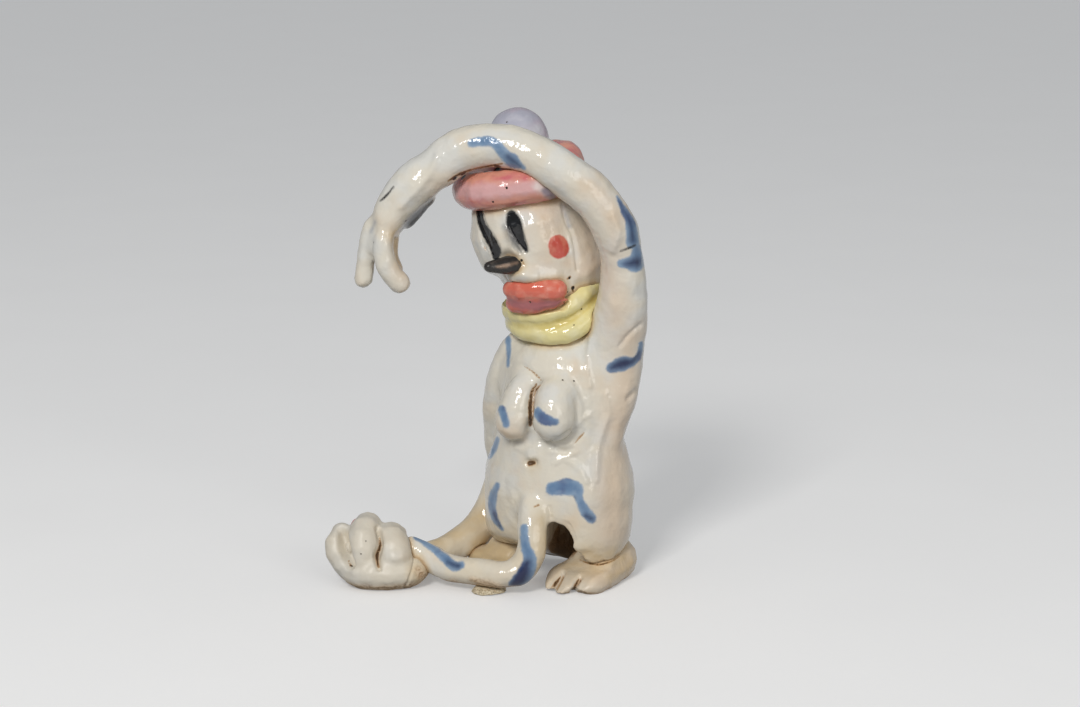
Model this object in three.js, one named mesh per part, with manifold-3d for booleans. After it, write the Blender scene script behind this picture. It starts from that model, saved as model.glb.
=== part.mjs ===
// A hand-built ceramic figurine, glazed white with blue brush dabs. A standing figure arches one
// long arm over its beret. The other arm runs down to the floor, where its clenched hand grips the
// end of a long coil that drops from the front of the body. The figure is an assembly of hand-formed
// clay pieces: rolls, lumps and rings, each pressed on to its neighbours over a thin layer of slip.
//
// Millimetres, +Z up. The figure is looked at along +Y, with +X to the viewer's right.
// "Left" and "right" in the names are the figure's own.

import * as THREE from 'three';
import { mergeVertices } from 'three/addons/utils/BufferGeometryUtils.js';
import Module from 'manifold-3d';

const wasm = await Module();
wasm.setup();

// Joints and hollows
const SLIP_JOINT = 0.3; // slip between two pieces
const TORSO_WALL = 5;
const HEAD_WALL = 9.5;
const NECK_BORE_RADIUS = 3; // joins the hollow of the head to the hollow of the torso
const NAVEL_RADIUS = 1.4; // vents the hollow through the belly

// Legs and feet
const LEFT_ANKLE_HEIGHT = 8; // floor to the front of the leg's underside, which falls to the floor behind
const RIGHT_ANKLE_HEIGHT = 11.5;
const RIM_LEVEL = 23; // floor to the torso's rim on the legs
const LEG_SPREAD = 13.2; // centre of a foot from the middle of the hips
const ARCH_HALF_WIDTH = 8; // of the arch between the legs, at the floor
const ARCH_ASIDE = 5.8; // its middle from the middle of the hips, towards the figure's left
const FOOT_LENGTH = 29;
const FOOT_HALF_WIDTH = 8; // at the heel
const FOOT_HEIGHT = 12; // at the heel
const TOE_HEIGHT = 5.5;
const TOE_COUNT = 4;
const TOES_HALF_WIDTH = 9.5; // of all the toes together
const TOE_REACH = 13; // middle of the ankle to the tips of the toes
const TOE_GROOVE_RADIUS = 1;
const TOE_GROOVE_LENGTH = 6;

// Torso
const TORSO_LENGTH = 50; // rim on the legs to the root of the neck
const HIP_HALF_WIDTH = 22.4;
const HIP_SWAY = 2; // the hips stand this far towards the figure's right
const HIP_HALF_DEPTH = 17.5;
const WAIST_HALF_WIDTH = 18.8;
const WAIST_HALF_DEPTH = 15.5;
const CHEST_HALF_WIDTH = 18.5;
const CHEST_HALF_DEPTH = 15;
const SHOULDER_HALF_WIDTH = 15.5;
const SHOULDER_HALF_DEPTH = 13;
const NECK_RADIUS = 10.5;
const BREAST_RADIUS = 5.4;
const BREAST_LENGTH = 18;
const BREAST_STAND = 2.2; // how far its middle stands off the chest

// Head and face
const HEAD_LENGTH = 50; // from inside the shoulders to the crown, along the lean of the head
const HEAD_RADIUS = 15.8;
const EYE_LENGTH = 11;
const EYE_RADIUS = 2.2;
const EYE_SPREAD = 40; // degrees of the face between the two eyes
const NAPE_RADIUS = 13;
const MUZZLE_RADIUS = 5.8;
const NOSE_LENGTH = 12;
const NOSE_RADIUS = 2.5;
const LIP_RADIUS = 2.8;
const LIP_SPAN = 72; // degrees of the face that the mouth takes up

// Scarf and hat
const SCARF_RADIUS = 12.4; // centre line of the ring
const SCARF_ROLL_RADIUS = 3;
const BRIM_RADIUS = 14; // centre line of the ring
const BRIM_ROLL_RADIUS = 5.3;
const CROWN_HEIGHT = 5.5;
const POMPOM_RADIUS = 9;

// Raised arm and its hand
const RAISED_ARM_REACH = 30; // middle of the hat to the arm, where it passes the head
const RAISED_ARM_RADIUS = 6.2;
const RAISED_HAND_LENGTH = 30; // wrist to the tip of the longest finger
const RAISED_PALM_RADIUS = 6.3;
const RAISED_FINGER_RADIUS = 2.8;

// Lowered arm, clenched hand and the coil that it grips
const LOWERED_ARM_REACH = 52; // middle of the body to the clenched hand
const LOWERED_ARM_RADIUS = 5;
const FIST_HALF_LENGTH = 13.2;
const FIST_HALF_HEIGHT = 6.2;
const FIST_FINGER_RADIUS = 4.4;
const COIL_RADIUS = 4;
const PAD_RADIUS = 5;
const PAD_HEIGHT = 2.6;

// Which way things face, in degrees from the viewer, positive to the viewer's right
const TORSO_TURN = -28;
const FACE_TURN = -30;
const MOUTH_TURN = -15;
const LEFT_FOOT_TURN = -40;
const RIGHT_FOOT_TURN = -68;
const HEAD_LEAN = 21; // of the head's axis from upright
const HEAD_LEAN_TURN = -82; // the way that the head leans
const BRIM_LEAN = 20;
const BRIM_LEAN_TURN = -68;

// Fineness of the faceted surfaces
const FINE_SIDES = 12;
const PLAIN_SIDES = 9;
const STATION_STEP = 3.8;
const ROUND_END_STEPS = 3;

const UP = new THREE.Vector3(0, 0, 1);
const vector = (x, y, z) => new THREE.Vector3(x, y, z);

// A level direction, turned from the viewer.
function heading(degrees) {
  const angle = THREE.MathUtils.degToRad(degrees);
  return vector(Math.sin(angle), -Math.cos(angle), 0);
}

// An upward direction that leans a few degrees towards a heading.
function leaning(degrees, turn) {
  const angle = THREE.MathUtils.degToRad(degrees);
  return heading(turn).multiplyScalar(Math.sin(angle)).addScaledVector(UP, Math.cos(angle));
}

// Solids from three.js geometry, and back

function toSolid(geometry) {
  const bare = new THREE.BufferGeometry();
  bare.setAttribute('position', geometry.getAttribute('position'));
  bare.setIndex(geometry.getIndex());
  const welded = mergeVertices(bare);
  const corners = welded.getIndex().array;
  const triangles = [];
  for (let i = 0; i < corners.length; i += 3) {
    const [a, b, c] = corners.slice(i, i + 3);
    if (a !== b && b !== c && c !== a) triangles.push(a, b, c);
  }
  return new wasm.Manifold(new wasm.Mesh({
    numProp: 3,
    vertProperties: welded.getAttribute('position').array,
    triVerts: new Uint32Array(triangles),
  }));
}

function toGeometry(solid) {
  const { vertProperties, triVerts } = solid.getMesh();
  const geometry = new THREE.BufferGeometry();
  geometry.setAttribute('position', new THREE.BufferAttribute(vertProperties, 3));
  geometry.setIndex(new THREE.BufferAttribute(triVerts, 1));
  geometry.computeVertexNormals();
  return geometry;
}

function largestBody(solid) {
  return solid.decompose().reduce((kept, body) => (body.volume() > kept.volume() ? body : kept));
}

const FAR = 400; // larger than the figure

// What is left of a solid above a level, and below one.
function above(level, solid) {
  const rest = new THREE.BoxGeometry(FAR, FAR, FAR).translate(0, 0, level - FAR / 2);
  return solid.subtract(toSolid(rest));
}

function below(level, solid) {
  const rest = new THREE.BoxGeometry(FAR, FAR, FAR).translate(0, 0, level + FAR / 2);
  return solid.subtract(toSolid(rest));
}

// The three ways that the clay is formed

// A smooth value along a roll, from the values at its knots.
function alongKnots(values) {
  const line = new THREE.SplineCurve(values.map((value, i) => new THREE.Vector2(i, value)));
  return (t) => line.getPoint(t).y;
}

// How full a round-ended roll is at a distance from its start: 0 at its two tips, 1 between them.
function fullness(distance, length, startRadius, endRadius) {
  const start = Math.min(1, distance / startRadius);
  const end = Math.min(1, (length - distance) / endRadius);
  return Math.sqrt(Math.max(0, 1 - (1 - start) ** 2)) * Math.sqrt(Math.max(0, 1 - (1 - end) ** 2));
}

// Distances along a roll at which it has a ring of points, close together at its round ends.
function stations(length, startRadius, endRadius) {
  const quarter = Math.PI / 2 / ROUND_END_STEPS;
  const round = Array.from({ length: ROUND_END_STEPS }, (_, k) => 1 - Math.cos(k * quarter));
  const straight = Math.max(STATION_STEP, length - startRadius - endRadius);
  const steps = Math.ceil(straight / STATION_STEP);
  const middle = Array.from({ length: steps + 1 }, (_, k) => startRadius + (straight * k) / steps);
  return [
    ...round.map((share) => share * startRadius),
    ...middle,
    ...round.reverse().map((share) => length - share * endRadius),
  ];
}

// A roll of clay: a lathe-turned rod with round ends, bent along a smooth curve through its knots.
// A knot is [point, half-width] or [point, half-width, half-depth], and side is the way of the width.
function roll(knots, { side = vector(0, 1, 0), sides = PLAIN_SIDES, grow = 0 } = {}) {
  const points = knots.map(([point]) => point.clone());
  const last = points.length - 1;
  points[0].addScaledVector(points[0].clone().sub(points[1]).normalize(), grow);
  points[last].addScaledVector(points[last].clone().sub(points[last - 1]).normalize(), grow);
  const curve = new THREE.CatmullRomCurve3(points);
  const widthAt = alongKnots(knots.map(([, width]) => width + grow));
  const depthAt = alongKnots(knots.map(([, width, depth = width]) => depth + grow));
  const length = curve.getLength();
  const ends = [widthAt(0), widthAt(1)].map((radius) => Math.min(radius, length / 2));
  const profile = stations(length, ...ends).map(
    (distance) => new THREE.Vector2(fullness(distance, length, ...ends), distance / length),
  );
  const rod = new THREE.LatheGeometry(profile, sides);
  const place = rod.getAttribute('position');
  for (let i = 0; i < place.count; i += 1) {
    const u = THREE.MathUtils.clamp(place.getY(i), 0, 1);
    const t = curve.getUtoTmapping(u);
    const ahead = curve.getTangent(t);
    const across = side.clone().addScaledVector(ahead, -side.dot(ahead)).normalize();
    const through = across.clone().cross(ahead);
    const point = curve.getPoint(t)
      .addScaledVector(across, place.getX(i) * widthAt(t))
      .addScaledVector(through, place.getZ(i) * depthAt(t));
    place.setXYZ(i, point.x, point.y, point.z);
  }
  return toSolid(rod);
}

// A lump of clay: an ellipsoid whose third radius lies along an axis.
function lump(centre, [width, depth, height], { axis = UP, sides = PLAIN_SIDES, grow = 0 } = {}) {
  const ball = new THREE.SphereGeometry(1, sides + 2, Math.ceil(sides * 0.7));
  ball.rotateX(Math.PI / 2);
  ball.scale(width + grow, depth + grow, height + grow);
  ball.applyQuaternion(new THREE.Quaternion().setFromUnitVectors(UP, axis));
  return toSolid(ball.translate(centre.x, centre.y, centre.z));
}

// A roll of clay closed into a ring about an axis. The lifts, in radii of the roll, raise the ring at
// even steps around it, from its far side by way of the viewer's left.
function ring(centre, radius, rollRadius, lifts, { axis = UP, sides = PLAIN_SIDES, grow = 0 } = {}) {
  const tilt = new THREE.Quaternion().setFromUnitVectors(UP, axis);
  const line = new THREE.CatmullRomCurve3(lifts.map((lift, k) => (
    heading((360 * k) / lifts.length - 180).multiplyScalar(radius).setZ(lift * rollRadius)
      .applyQuaternion(tilt).add(centre)
  )), true);
  const steps = Math.ceil(line.getLength() / STATION_STEP);
  return toSolid(new THREE.TubeGeometry(line, steps, rollRadius + grow, sides, true));
}

// Levels and axes that the pieces share

const NECK_LEVEL = RIM_LEVEL + TORSO_LENGTH;
const torsoFront = heading(TORSO_TURN);
const torsoLeft = heading(TORSO_TURN + 90);

// The torso's half-width and half-depth at shares of its length above the rim.
const TORSO_SHAPE = [
  [0, HIP_HALF_WIDTH, HIP_HALF_DEPTH],
  [0.14, HIP_HALF_WIDTH, HIP_HALF_DEPTH],
  [0.4, WAIST_HALF_WIDTH, WAIST_HALF_DEPTH],
  [0.66, CHEST_HALF_WIDTH, CHEST_HALF_DEPTH],
  [0.86, SHOULDER_HALF_WIDTH, SHOULDER_HALF_DEPTH],
  [1.04, NECK_RADIUS, NECK_RADIUS],
];

// The middle of the torso at a share of its height: the hips are out of line with the neck.
const torsoMiddle = (share) => heading(TORSO_TURN - 90).multiplyScalar(HIP_SWAY * (1 - share))
  .setZ(RIM_LEVEL + share * TORSO_LENGTH);

// A point at a share of the torso's height, at an angle from its front, off its skin by a distance.
function onTorso(share, turn, off = 0) {
  const next = TORSO_SHAPE.findIndex(([at]) => at >= share);
  const [low, high] = [TORSO_SHAPE[Math.max(0, next - 1)], TORSO_SHAPE[next]];
  const part = high === low ? 0 : (share - low[0]) / (high[0] - low[0]);
  const [, width, depth] = low.map((value, i) => THREE.MathUtils.lerp(value, high[i], part));
  const angle = THREE.MathUtils.degToRad(turn);
  const reach = off + 1 / Math.hypot(Math.cos(angle) / depth, Math.sin(angle) / width);
  return torsoMiddle(share).addScaledVector(heading(TORSO_TURN + turn), reach);
}

const headAxis = leaning(HEAD_LEAN, HEAD_LEAN_TURN);
const headBase = vector(0.14, 0.29, -0.38).multiplyScalar(NECK_RADIUS).addScaledVector(UP, NECK_LEVEL);
const onHeadAxis = (share) => headBase.clone().addScaledVector(headAxis, share * HEAD_LENGTH);

// A point at a share of the head's length, on a level heading, off the head's axis by a distance.
const onFace = (share, turn, reach) => onHeadAxis(share).addScaledVector(heading(turn), reach);

const brimAxis = leaning(BRIM_LEAN, BRIM_LEAN_TURN);
const hatCentre = onHeadAxis(1).addScaledVector(vector(0.207, 0.071, 0.114), BRIM_RADIUS);
const pompomCentre = hatCentre.clone().addScaledVector(vector(0, 0.28, 0.4), POMPOM_RADIUS)
  .addScaledVector(UP, CROWN_HEIGHT);

// Pieces, in the order in which they are put on: each one is shaped by those before it

const pieces = [];

function piece(name, group, material, blank, carve = (solid) => solid) {
  pieces.push({ name, group, material, blank, carve });
}

const WHITE = { color: 0xe8e0d2, roughness: 0.22, metalness: 0 };
const BARE = { color: 0xd9cdb8, roughness: 0.7, metalness: 0 };
const PINK = { color: 0xdc8380, roughness: 0.2, metalness: 0 };
const RED = { color: 0xd4605a, roughness: 0.2, metalness: 0 };
const YELLOW = { color: 0xe6d878, roughness: 0.22, metalness: 0 };
const LILAC = { color: 0xb9b3d2, roughness: 0.18, metalness: 0 };
const GRAPHITE = { color: 0x3a3836, roughness: 0.3, metalness: 0.4 };

// Torso: a hollow tube, open on the legs and bored through to the head

function torsoRoll(wall, grow) {
  const knots = TORSO_SHAPE.map(([share, width, depth]) => [
    torsoMiddle(share), width - wall, depth - wall,
  ]);
  const foot = torsoMiddle(0).setZ(RIM_LEVEL - HIP_HALF_WIDTH - STATION_STEP);
  return roll([[foot, HIP_HALF_WIDTH - wall, HIP_HALF_DEPTH - wall], ...knots], {
    side: torsoLeft, sides: wall ? FINE_SIDES : FINE_SIDES * 2, grow,
  });
}

const torsoHollowTop = vector(0, 0, NECK_LEVEL - TORSO_WALL - NECK_RADIUS);
const headHollowCentre = onHeadAxis(0.55);

function neckBore() {
  const knots = [torsoHollowTop, headBase, headHollowCentre].map((at) => [at, NECK_BORE_RADIUS]);
  return roll(knots);
}

piece(
  'torso', 'body', WHITE,
  (grow) => above(RIM_LEVEL - grow, torsoRoll(0, grow)),
  (solid) => {
    const hollow = below(NECK_LEVEL - TORSO_WALL, torsoRoll(TORSO_WALL, 0));
    const navel = roll([
      [onTorso(0.3, 0, 2 * NAVEL_RADIUS), NAVEL_RADIUS],
      [onTorso(0.3, 0, -2 * TORSO_WALL), NAVEL_RADIUS],
    ], { side: UP });
    return solid.subtract(hollow).subtract(neckBore()).subtract(navel);
  },
);

// Feet: flat-soled slabs that wrap the heel, each with a row of toes

const legCentre = (turn) => torsoMiddle(0).addScaledVector(heading(TORSO_TURN + turn), LEG_SPREAD);
const toeSpacing = (2 * TOES_HALF_WIDTH) / TOE_COUNT;

function foot(turn, footTurn, heel, instep, grow) {
  const ahead = heading(footTurn);
  const across = heading(footTurn + 90);
  const at = (reach, height) => legCentre(turn).addScaledVector(ahead, reach).setZ(height);
  const slab = roll([
    [at(-heel * FOOT_LENGTH, FOOT_HEIGHT * 0.42), FOOT_HALF_WIDTH * 0.9, FOOT_HEIGHT * 0.58],
    [at(0, FOOT_HEIGHT * 0.38), FOOT_HALF_WIDTH, FOOT_HEIGHT * 0.54 * instep],
    [at(TOE_REACH * 0.55, TOE_HEIGHT * 0.5), TOES_HALF_WIDTH, TOE_HEIGHT * 0.75 * instep],
    [at(TOE_REACH * 0.95, TOE_HEIGHT * 0.4), TOES_HALF_WIDTH, TOE_HEIGHT * 0.55],
  ], { side: across, sides: FINE_SIDES, grow });
  const toes = Array.from({ length: TOE_COUNT }, (_, k) => {
    const aside = (k + 0.5) * toeSpacing - TOES_HALF_WIDTH;
    const knots = [[0.3, 0.5], [0.65, 0.46], [1, 0.4]].map(([share, height]) => [
      at(share * TOE_REACH, TOE_HEIGHT * height).addScaledVector(across, aside),
      toeSpacing * 0.52, TOE_HEIGHT * 0.54,
    ]);
    return roll(knots, { side: across, grow });
  });
  return above(0, toes.reduce((joined, toe) => joined.add(toe), slab));
}

function toeGrooves(turn, footTurn) {
  const ahead = heading(footTurn);
  const across = heading(footTurn + 90);
  const tip = legCentre(turn).addScaledVector(ahead, TOE_REACH);
  return Array.from({ length: TOE_COUNT - 1 }, (_, k) => {
    const from = tip.clone().addScaledVector(across, (k + 1) * toeSpacing - TOES_HALF_WIDTH);
    const back = from.clone().addScaledVector(ahead, -TOE_GROOVE_LENGTH).setZ(TOE_HEIGHT * 1.15);
    return roll([
      [from.setZ(TOE_HEIGHT * 0.3), TOE_GROOVE_RADIUS * 1.2],
      [back, TOE_GROOVE_RADIUS],
    ]);
  });
}

for (const [name, turn, footTurn, heel, instep] of [
  ['left_foot', 90, LEFT_FOOT_TURN, 0.46, 1],
  ['right_foot', -90, RIGHT_FOOT_TURN, 0.24, 1.35],
]) {
  piece(
    name, 'body', WHITE,
    (grow) => foot(turn, footTurn, heel, instep, grow),
    (solid) => toeGrooves(turn, footTurn).reduce((left, groove) => left.subtract(groove), solid),
  );
}

// Legs: the torso's outline goes on below its rim, tapers to the ankles and is parted by an arch,
// which is open to the front and closed behind

const ANKLE_TAPER = 0.8; // of the torso's outline, at the floor

function arch(grow) {
  const middle = torsoMiddle(0).setZ(0).addScaledVector(torsoLeft, ARCH_ASIDE);
  const knots = [TORSO_WALL - HIP_HALF_DEPTH, 2 * HIP_HALF_DEPTH].map((reach) => [
    middle.clone().addScaledVector(torsoFront, reach), ARCH_HALF_WIDTH - grow, RIM_LEVEL * 0.9 - grow,
  ]);
  return roll(knots, { side: torsoLeft, sides: FINE_SIDES * 2 });
}

// The space under a leg, whose top falls from a height at the front of the leg to the floor behind.
function underLeg(height) {
  const reach = ANKLE_TAPER * HIP_HALF_DEPTH;
  const slope = Math.atan2(height, 2 * reach);
  const top = torsoMiddle(0).addScaledVector(torsoFront, reach).setZ(height);
  const space = new THREE.BoxGeometry(FAR, FAR, FAR).translate(0, 0, -FAR / 2);
  space.applyQuaternion(new THREE.Quaternion().setFromAxisAngle(torsoLeft, -slope));
  return toSolid(space.translate(top.x, top.y, top.z));
}

function leg(turn, ankleHeight, grow) {
  const taper = [[-1, 0], [0, 0], [0.35, 0.5], [0.6, 0.9], [1, 1], [2, 1]];
  const knots = taper.map(([level, part]) => {
    const share = THREE.MathUtils.lerp(ANKLE_TAPER, 1, part);
    return [torsoMiddle(0).setZ(level * RIM_LEVEL), HIP_HALF_WIDTH * share, HIP_HALF_DEPTH * share];
  });
  const stump = roll(knots, { side: torsoLeft, sides: FINE_SIDES * 2, grow });
  const otherSide = new THREE.BoxGeometry(FAR, FAR, FAR)
    .rotateZ(THREE.MathUtils.degToRad(TORSO_TURN))
    .translate(...torsoMiddle(0).addScaledVector(heading(TORSO_TURN - turn), FAR / 2).toArray());
  const side = stump.subtract(arch(grow)).subtract(toSolid(otherSide));
  return above(0, below(RIM_LEVEL - SLIP_JOINT + grow, side.subtract(underLeg(ankleHeight - grow))));
}

piece('left_leg', 'body', WHITE, (grow) => leg(90, LEFT_ANKLE_HEIGHT, grow));
piece('right_leg', 'body', WHITE, (grow) => leg(-90, RIGHT_ANKLE_HEIGHT, grow));

// Head: an egg that leans over the coil, hollowed from the neck, with a groove for each eye

function eyeGroove(turn) {
  const knots = [-0.5, 0, 0.5].map((part) => [
    onFace(0.7 + (part * EYE_LENGTH) / HEAD_LENGTH, turn, HEAD_RADIUS), EYE_RADIUS, EYE_RADIUS * 0.6,
  ]);
  return roll(knots, { side: heading(turn + 90) });
}

piece(
  'head', 'head', WHITE,
  (grow) => roll([
    [onHeadAxis(0), NECK_RADIUS],
    [onHeadAxis(0.2), NECK_RADIUS * 1.12],
    [onHeadAxis(0.38), HEAD_RADIUS * 0.92],
    [onHeadAxis(0.56), HEAD_RADIUS],
    [onHeadAxis(0.76), HEAD_RADIUS],
    [onHeadAxis(1.03), HEAD_RADIUS * 0.86],
  ], { sides: FINE_SIDES * 2, grow }),
  (solid) => {
    const radius = HEAD_RADIUS - HEAD_WALL;
    const hollow = lump(headHollowCentre, [radius, radius, HEAD_LENGTH / 5], { axis: headAxis });
    const hollowed = solid.subtract(hollow).subtract(neckBore());
    return [-0.5, 0.5].reduce(
      (left, part) => left.subtract(eyeGroove(FACE_TURN + part * EYE_SPREAD)), hollowed,
    );
  },
);

// Nape: a second lump on the head's left side, behind the face

const onNape = (share) => onFace(share, 90, NAPE_RADIUS * 0.46);

piece('nape', 'head', WHITE, (grow) => roll([
  [onNape(0.22), NAPE_RADIUS * 0.8],
  [onNape(0.45), NAPE_RADIUS],
  [onNape(0.75), NAPE_RADIUS],
  [onNape(1.02), NAPE_RADIUS * 0.85],
], { sides: FINE_SIDES * 2, grow }));

// Breasts: two drops of clay on the chest

for (const [name, turn, sag, full] of [
  ['left_breast', 20, 0, 1.14], ['right_breast', -22, 0.02, 1.03],
]) {
  const top = 0.6 - sag + BREAST_LENGTH / 2 / TORSO_LENGTH;
  const low = top - BREAST_LENGTH / TORSO_LENGTH;
  const radius = BREAST_RADIUS * full;
  piece(name, 'body', WHITE, (grow) => roll([
    [onTorso(top, turn, -BREAST_STAND), radius * 0.7],
    [onTorso((top + low) / 2, turn, BREAST_STAND * 0.6), radius],
    [onTorso(low, turn, BREAST_STAND), radius],
  ], { side: torsoLeft, sides: FINE_SIDES, grow }));
}

// Hat: a thick brim roll around a low crown, with a pompom

piece('hat_crown', 'hat', PINK, (grow) => lump(
  hatCentre, [BRIM_RADIUS, BRIM_RADIUS, CROWN_HEIGHT * 1.18],
  { axis: brimAxis, sides: FINE_SIDES * 2, grow },
));
piece('hat_brim', 'hat', PINK, (grow) => ring(
  hatCentre, BRIM_RADIUS, BRIM_ROLL_RADIUS, [-0.11, 0, 0, 0.15, 0, -0.38, -0.23, -0.3],
  { axis: brimAxis, sides: FINE_SIDES, grow },
));
piece('hat_pompom', 'hat', LILAC, (grow) => lump(
  pompomCentre, [POMPOM_RADIUS, POMPOM_RADIUS, POMPOM_RADIUS], { sides: FINE_SIDES + 4, grow },
));

// Raised arm: a roll from the left flank, up past the head and over the hat

const fromHat = (x, y, z) => hatCentre.clone().addScaledVector(vector(x, y, z), RAISED_ARM_REACH);
const raisedWrist = fromHat(-0.887, -0.367, -0.033);

piece('raised_arm', 'raised_arm', WHITE, (grow) => roll([
  [onTorso(0.2, 80, -1.05 * RAISED_ARM_RADIUS), RAISED_ARM_RADIUS * 0.7],
  [onTorso(0.42, 84, -0.6 * RAISED_ARM_RADIUS), RAISED_ARM_RADIUS * 0.95],
  [onTorso(0.66, 88, -0.35 * RAISED_ARM_RADIUS), RAISED_ARM_RADIUS, RAISED_ARM_RADIUS * 1.2],
  [onTorso(0.9, 90, 0.25 * RAISED_ARM_RADIUS), RAISED_ARM_RADIUS * 1.08, RAISED_ARM_RADIUS * 1.38],
  [fromHat(0.98, -0.4, -1.15), RAISED_ARM_RADIUS * 1.06, RAISED_ARM_RADIUS * 1.17],
  [fromHat(0.977, -0.45, -0.757), RAISED_ARM_RADIUS],
  [fromHat(0.887, -0.517, -0.42), RAISED_ARM_RADIUS],
  [fromHat(0.687, -0.55, -0.133), RAISED_ARM_RADIUS],
  [fromHat(0.387, -0.533, 0.093), RAISED_ARM_RADIUS],
  [fromHat(0.067, -0.467, 0.26), RAISED_ARM_RADIUS],
  [fromHat(-0.257, -0.383, 0.313), RAISED_ARM_RADIUS],
  [fromHat(-0.553, -0.35, 0.237), RAISED_ARM_RADIUS],
  [raisedWrist, RAISED_ARM_RADIUS],
], { sides: FINE_SIDES, grow }));

// Raised hand: a palm that bends down at the wrist, three fingers and a thumb

const fromWrist = (x, y, z) => raisedWrist.clone()
  .addScaledVector(vector(x, y, z), RAISED_HAND_LENGTH);

piece('raised_palm', 'raised_arm', WHITE, (grow) => roll([
  [fromWrist(0.26, 0.013, 0.21), RAISED_PALM_RADIUS * 0.88],
  [fromWrist(-0.05, 0.017, -0.003), RAISED_PALM_RADIUS],
  [fromWrist(-0.267, 0, -0.263), RAISED_PALM_RADIUS * 0.86],
  [fromWrist(-0.387, -0.033, -0.5), RAISED_PALM_RADIUS * 0.62, RAISED_PALM_RADIUS * 0.8],
], { side: vector(1, 0, 0), sides: FINE_SIDES, grow }));

for (const [name, scale, ...path] of [
  ['raised_middle_finger', 1.1,
    [-0.327, -0.1, -0.417], [-0.363, -0.117, -0.567], [-0.34, -0.133, -0.733],
    [-0.267, -0.117, -0.88], [-0.13, -0.093, -0.987]],
  ['raised_index_finger', 0.96,
    [-0.42, 0, -0.333], [-0.48, 0.01, -0.467], [-0.52, 0.02, -0.683], [-0.567, 0.033, -1.007]],
  ['raised_ring_finger', 0.92,
    [-0.287, 0.083, -0.4], [-0.31, 0.117, -0.633], [-0.3, 0.117, -0.78], [-0.227, 0.087, -0.9]],
  ['raised_thumb', 0.95,
    [0.1, 0.1, -0.08], [0, 0.12, -0.205], [-0.11, 0.12, -0.335], [-0.2, 0.11, -0.44]],
]) {
  piece(name, 'raised_arm', WHITE, (grow) => roll(
    path.map((offset) => [fromWrist(...offset), RAISED_FINGER_RADIUS * scale]), { grow },
  ));
}

// Lips: two rolls around the front of the face, the upper one fuller in the middle of each half

function lip(share, turn, reach, shares, grow) {
  return roll(shares.map((full, k) => [
    onFace(share, turn + (k / 4 - 0.5) * LIP_SPAN, reach), LIP_RADIUS * full,
  ]), { side: UP, sides: FINE_SIDES, grow });
}

const UPPER_LIP_FULLNESS = [0.95, 1.2, 1.08, 1.2, 1];
const LOWER_LIP_FULLNESS = [1, 1.12, 0.98, 0.72, 0.45];

piece('upper_lip', 'head', RED, (grow) => lip(
  0.37, MOUTH_TURN, HEAD_RADIUS * 0.96, UPPER_LIP_FULLNESS, grow,
));
piece('lower_lip', 'head', RED, (grow) => lip(
  0.283, MOUTH_TURN - 4, HEAD_RADIUS * 0.93, LOWER_LIP_FULLNESS, grow,
));

// Muzzle and nose

piece('muzzle', 'head', WHITE, (grow) => lump(
  onFace(0.47, FACE_TURN + 12, HEAD_RADIUS - MUZZLE_RADIUS * 0.7),
  [MUZZLE_RADIUS * 1.2, MUZZLE_RADIUS, MUZZLE_RADIUS * 0.9], { sides: FINE_SIDES, grow },
));

const noseRoot = onFace(0.53, FACE_TURN + 12, HEAD_RADIUS - NOSE_RADIUS * 0.8);
const noseTip = noseRoot.clone().addScaledVector(heading(FACE_TURN - 28), NOSE_LENGTH);

piece('nose', 'head', GRAPHITE, (grow) => roll([
  [noseRoot, NOSE_RADIUS * 1.1],
  [noseRoot.clone().lerp(noseTip, 0.4), NOSE_RADIUS * 1.1],
  [noseTip, NOSE_RADIUS * 0.5],
], { side: UP, sides: FINE_SIDES, grow }));

// Scarf: two folds around the neck, both of them lowest under the chin

for (const [name, share, spread, lifts] of [
  ['scarf_upper_fold', 0.285, 1, [0, 0, 0.2, -0.2, -0.73, -0.2, 0, 0]],
  ['scarf_lower_fold', 0.16, 1.04, [0.8, 1, 1, 0.2, -0.87, -0.45, 0.3, 0.67]],
]) {
  piece(name, 'head', YELLOW, (grow) => ring(
    onHeadAxis(share), SCARF_RADIUS * spread, SCARF_ROLL_RADIUS, lifts,
    { axis: headAxis, sides: FINE_SIDES, grow },
  ));
}

// Coil: drops from the front of the body, turns on the floor and runs into the clenched hand

const fistCentre = vector(-1, -0.183, 0).multiplyScalar(LOWERED_ARM_REACH)
  .setZ(FIST_HALF_HEIGHT * 0.78);
const fromFist = (x, y, z) => fistCentre.clone().addScaledVector(vector(x, y, z), FIST_HALF_LENGTH);
const padCentre = vector(-0.4135, -0.3365, 0).multiplyScalar(LOWERED_ARM_REACH);
const fromPad = (x, y) => padCentre.clone().addScaledVector(vector(x, y, 1), COIL_RADIUS)
  .addScaledVector(UP, PAD_HEIGHT * 0.69);
const fromCoilRoot = (x, y, z) => onTorso(0.02, 0, -COIL_RADIUS / 4)
  .addScaledVector(vector(x, y, z), COIL_RADIUS);

piece('coil', 'coil', WHITE, (grow) => roll([
  [fromCoilRoot(0.15, 0.75, 0.88), COIL_RADIUS * 0.9],
  [fromCoilRoot(0, -0.4, -0.38), COIL_RADIUS * 1.05],
  [fromCoilRoot(0.05, -1.05, -1.62), COIL_RADIUS * 1.03],
  [fromCoilRoot(0, -1.35, -2.88), COIL_RADIUS * 1.03],
  [fromCoilRoot(-0.5, -1.4, -3.85), COIL_RADIUS * 1.03],
  [fromPad(1.45, -0.65), COIL_RADIUS],
  [fromPad(0.25, -0.25), COIL_RADIUS],
  [fromPad(-1.23, 0.38), COIL_RADIUS * 0.97],
  [fromPad(-2.75, 1.12), COIL_RADIUS * 0.93],
  [fromFist(1.02, -0.03, 0.21), COIL_RADIUS * 0.9],
  [fromFist(0.38, 0.23, 0.49), COIL_RADIUS * 0.9],
], { side: vector(0.3, 1, -0.6), sides: FINE_SIDES, grow }));
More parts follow.
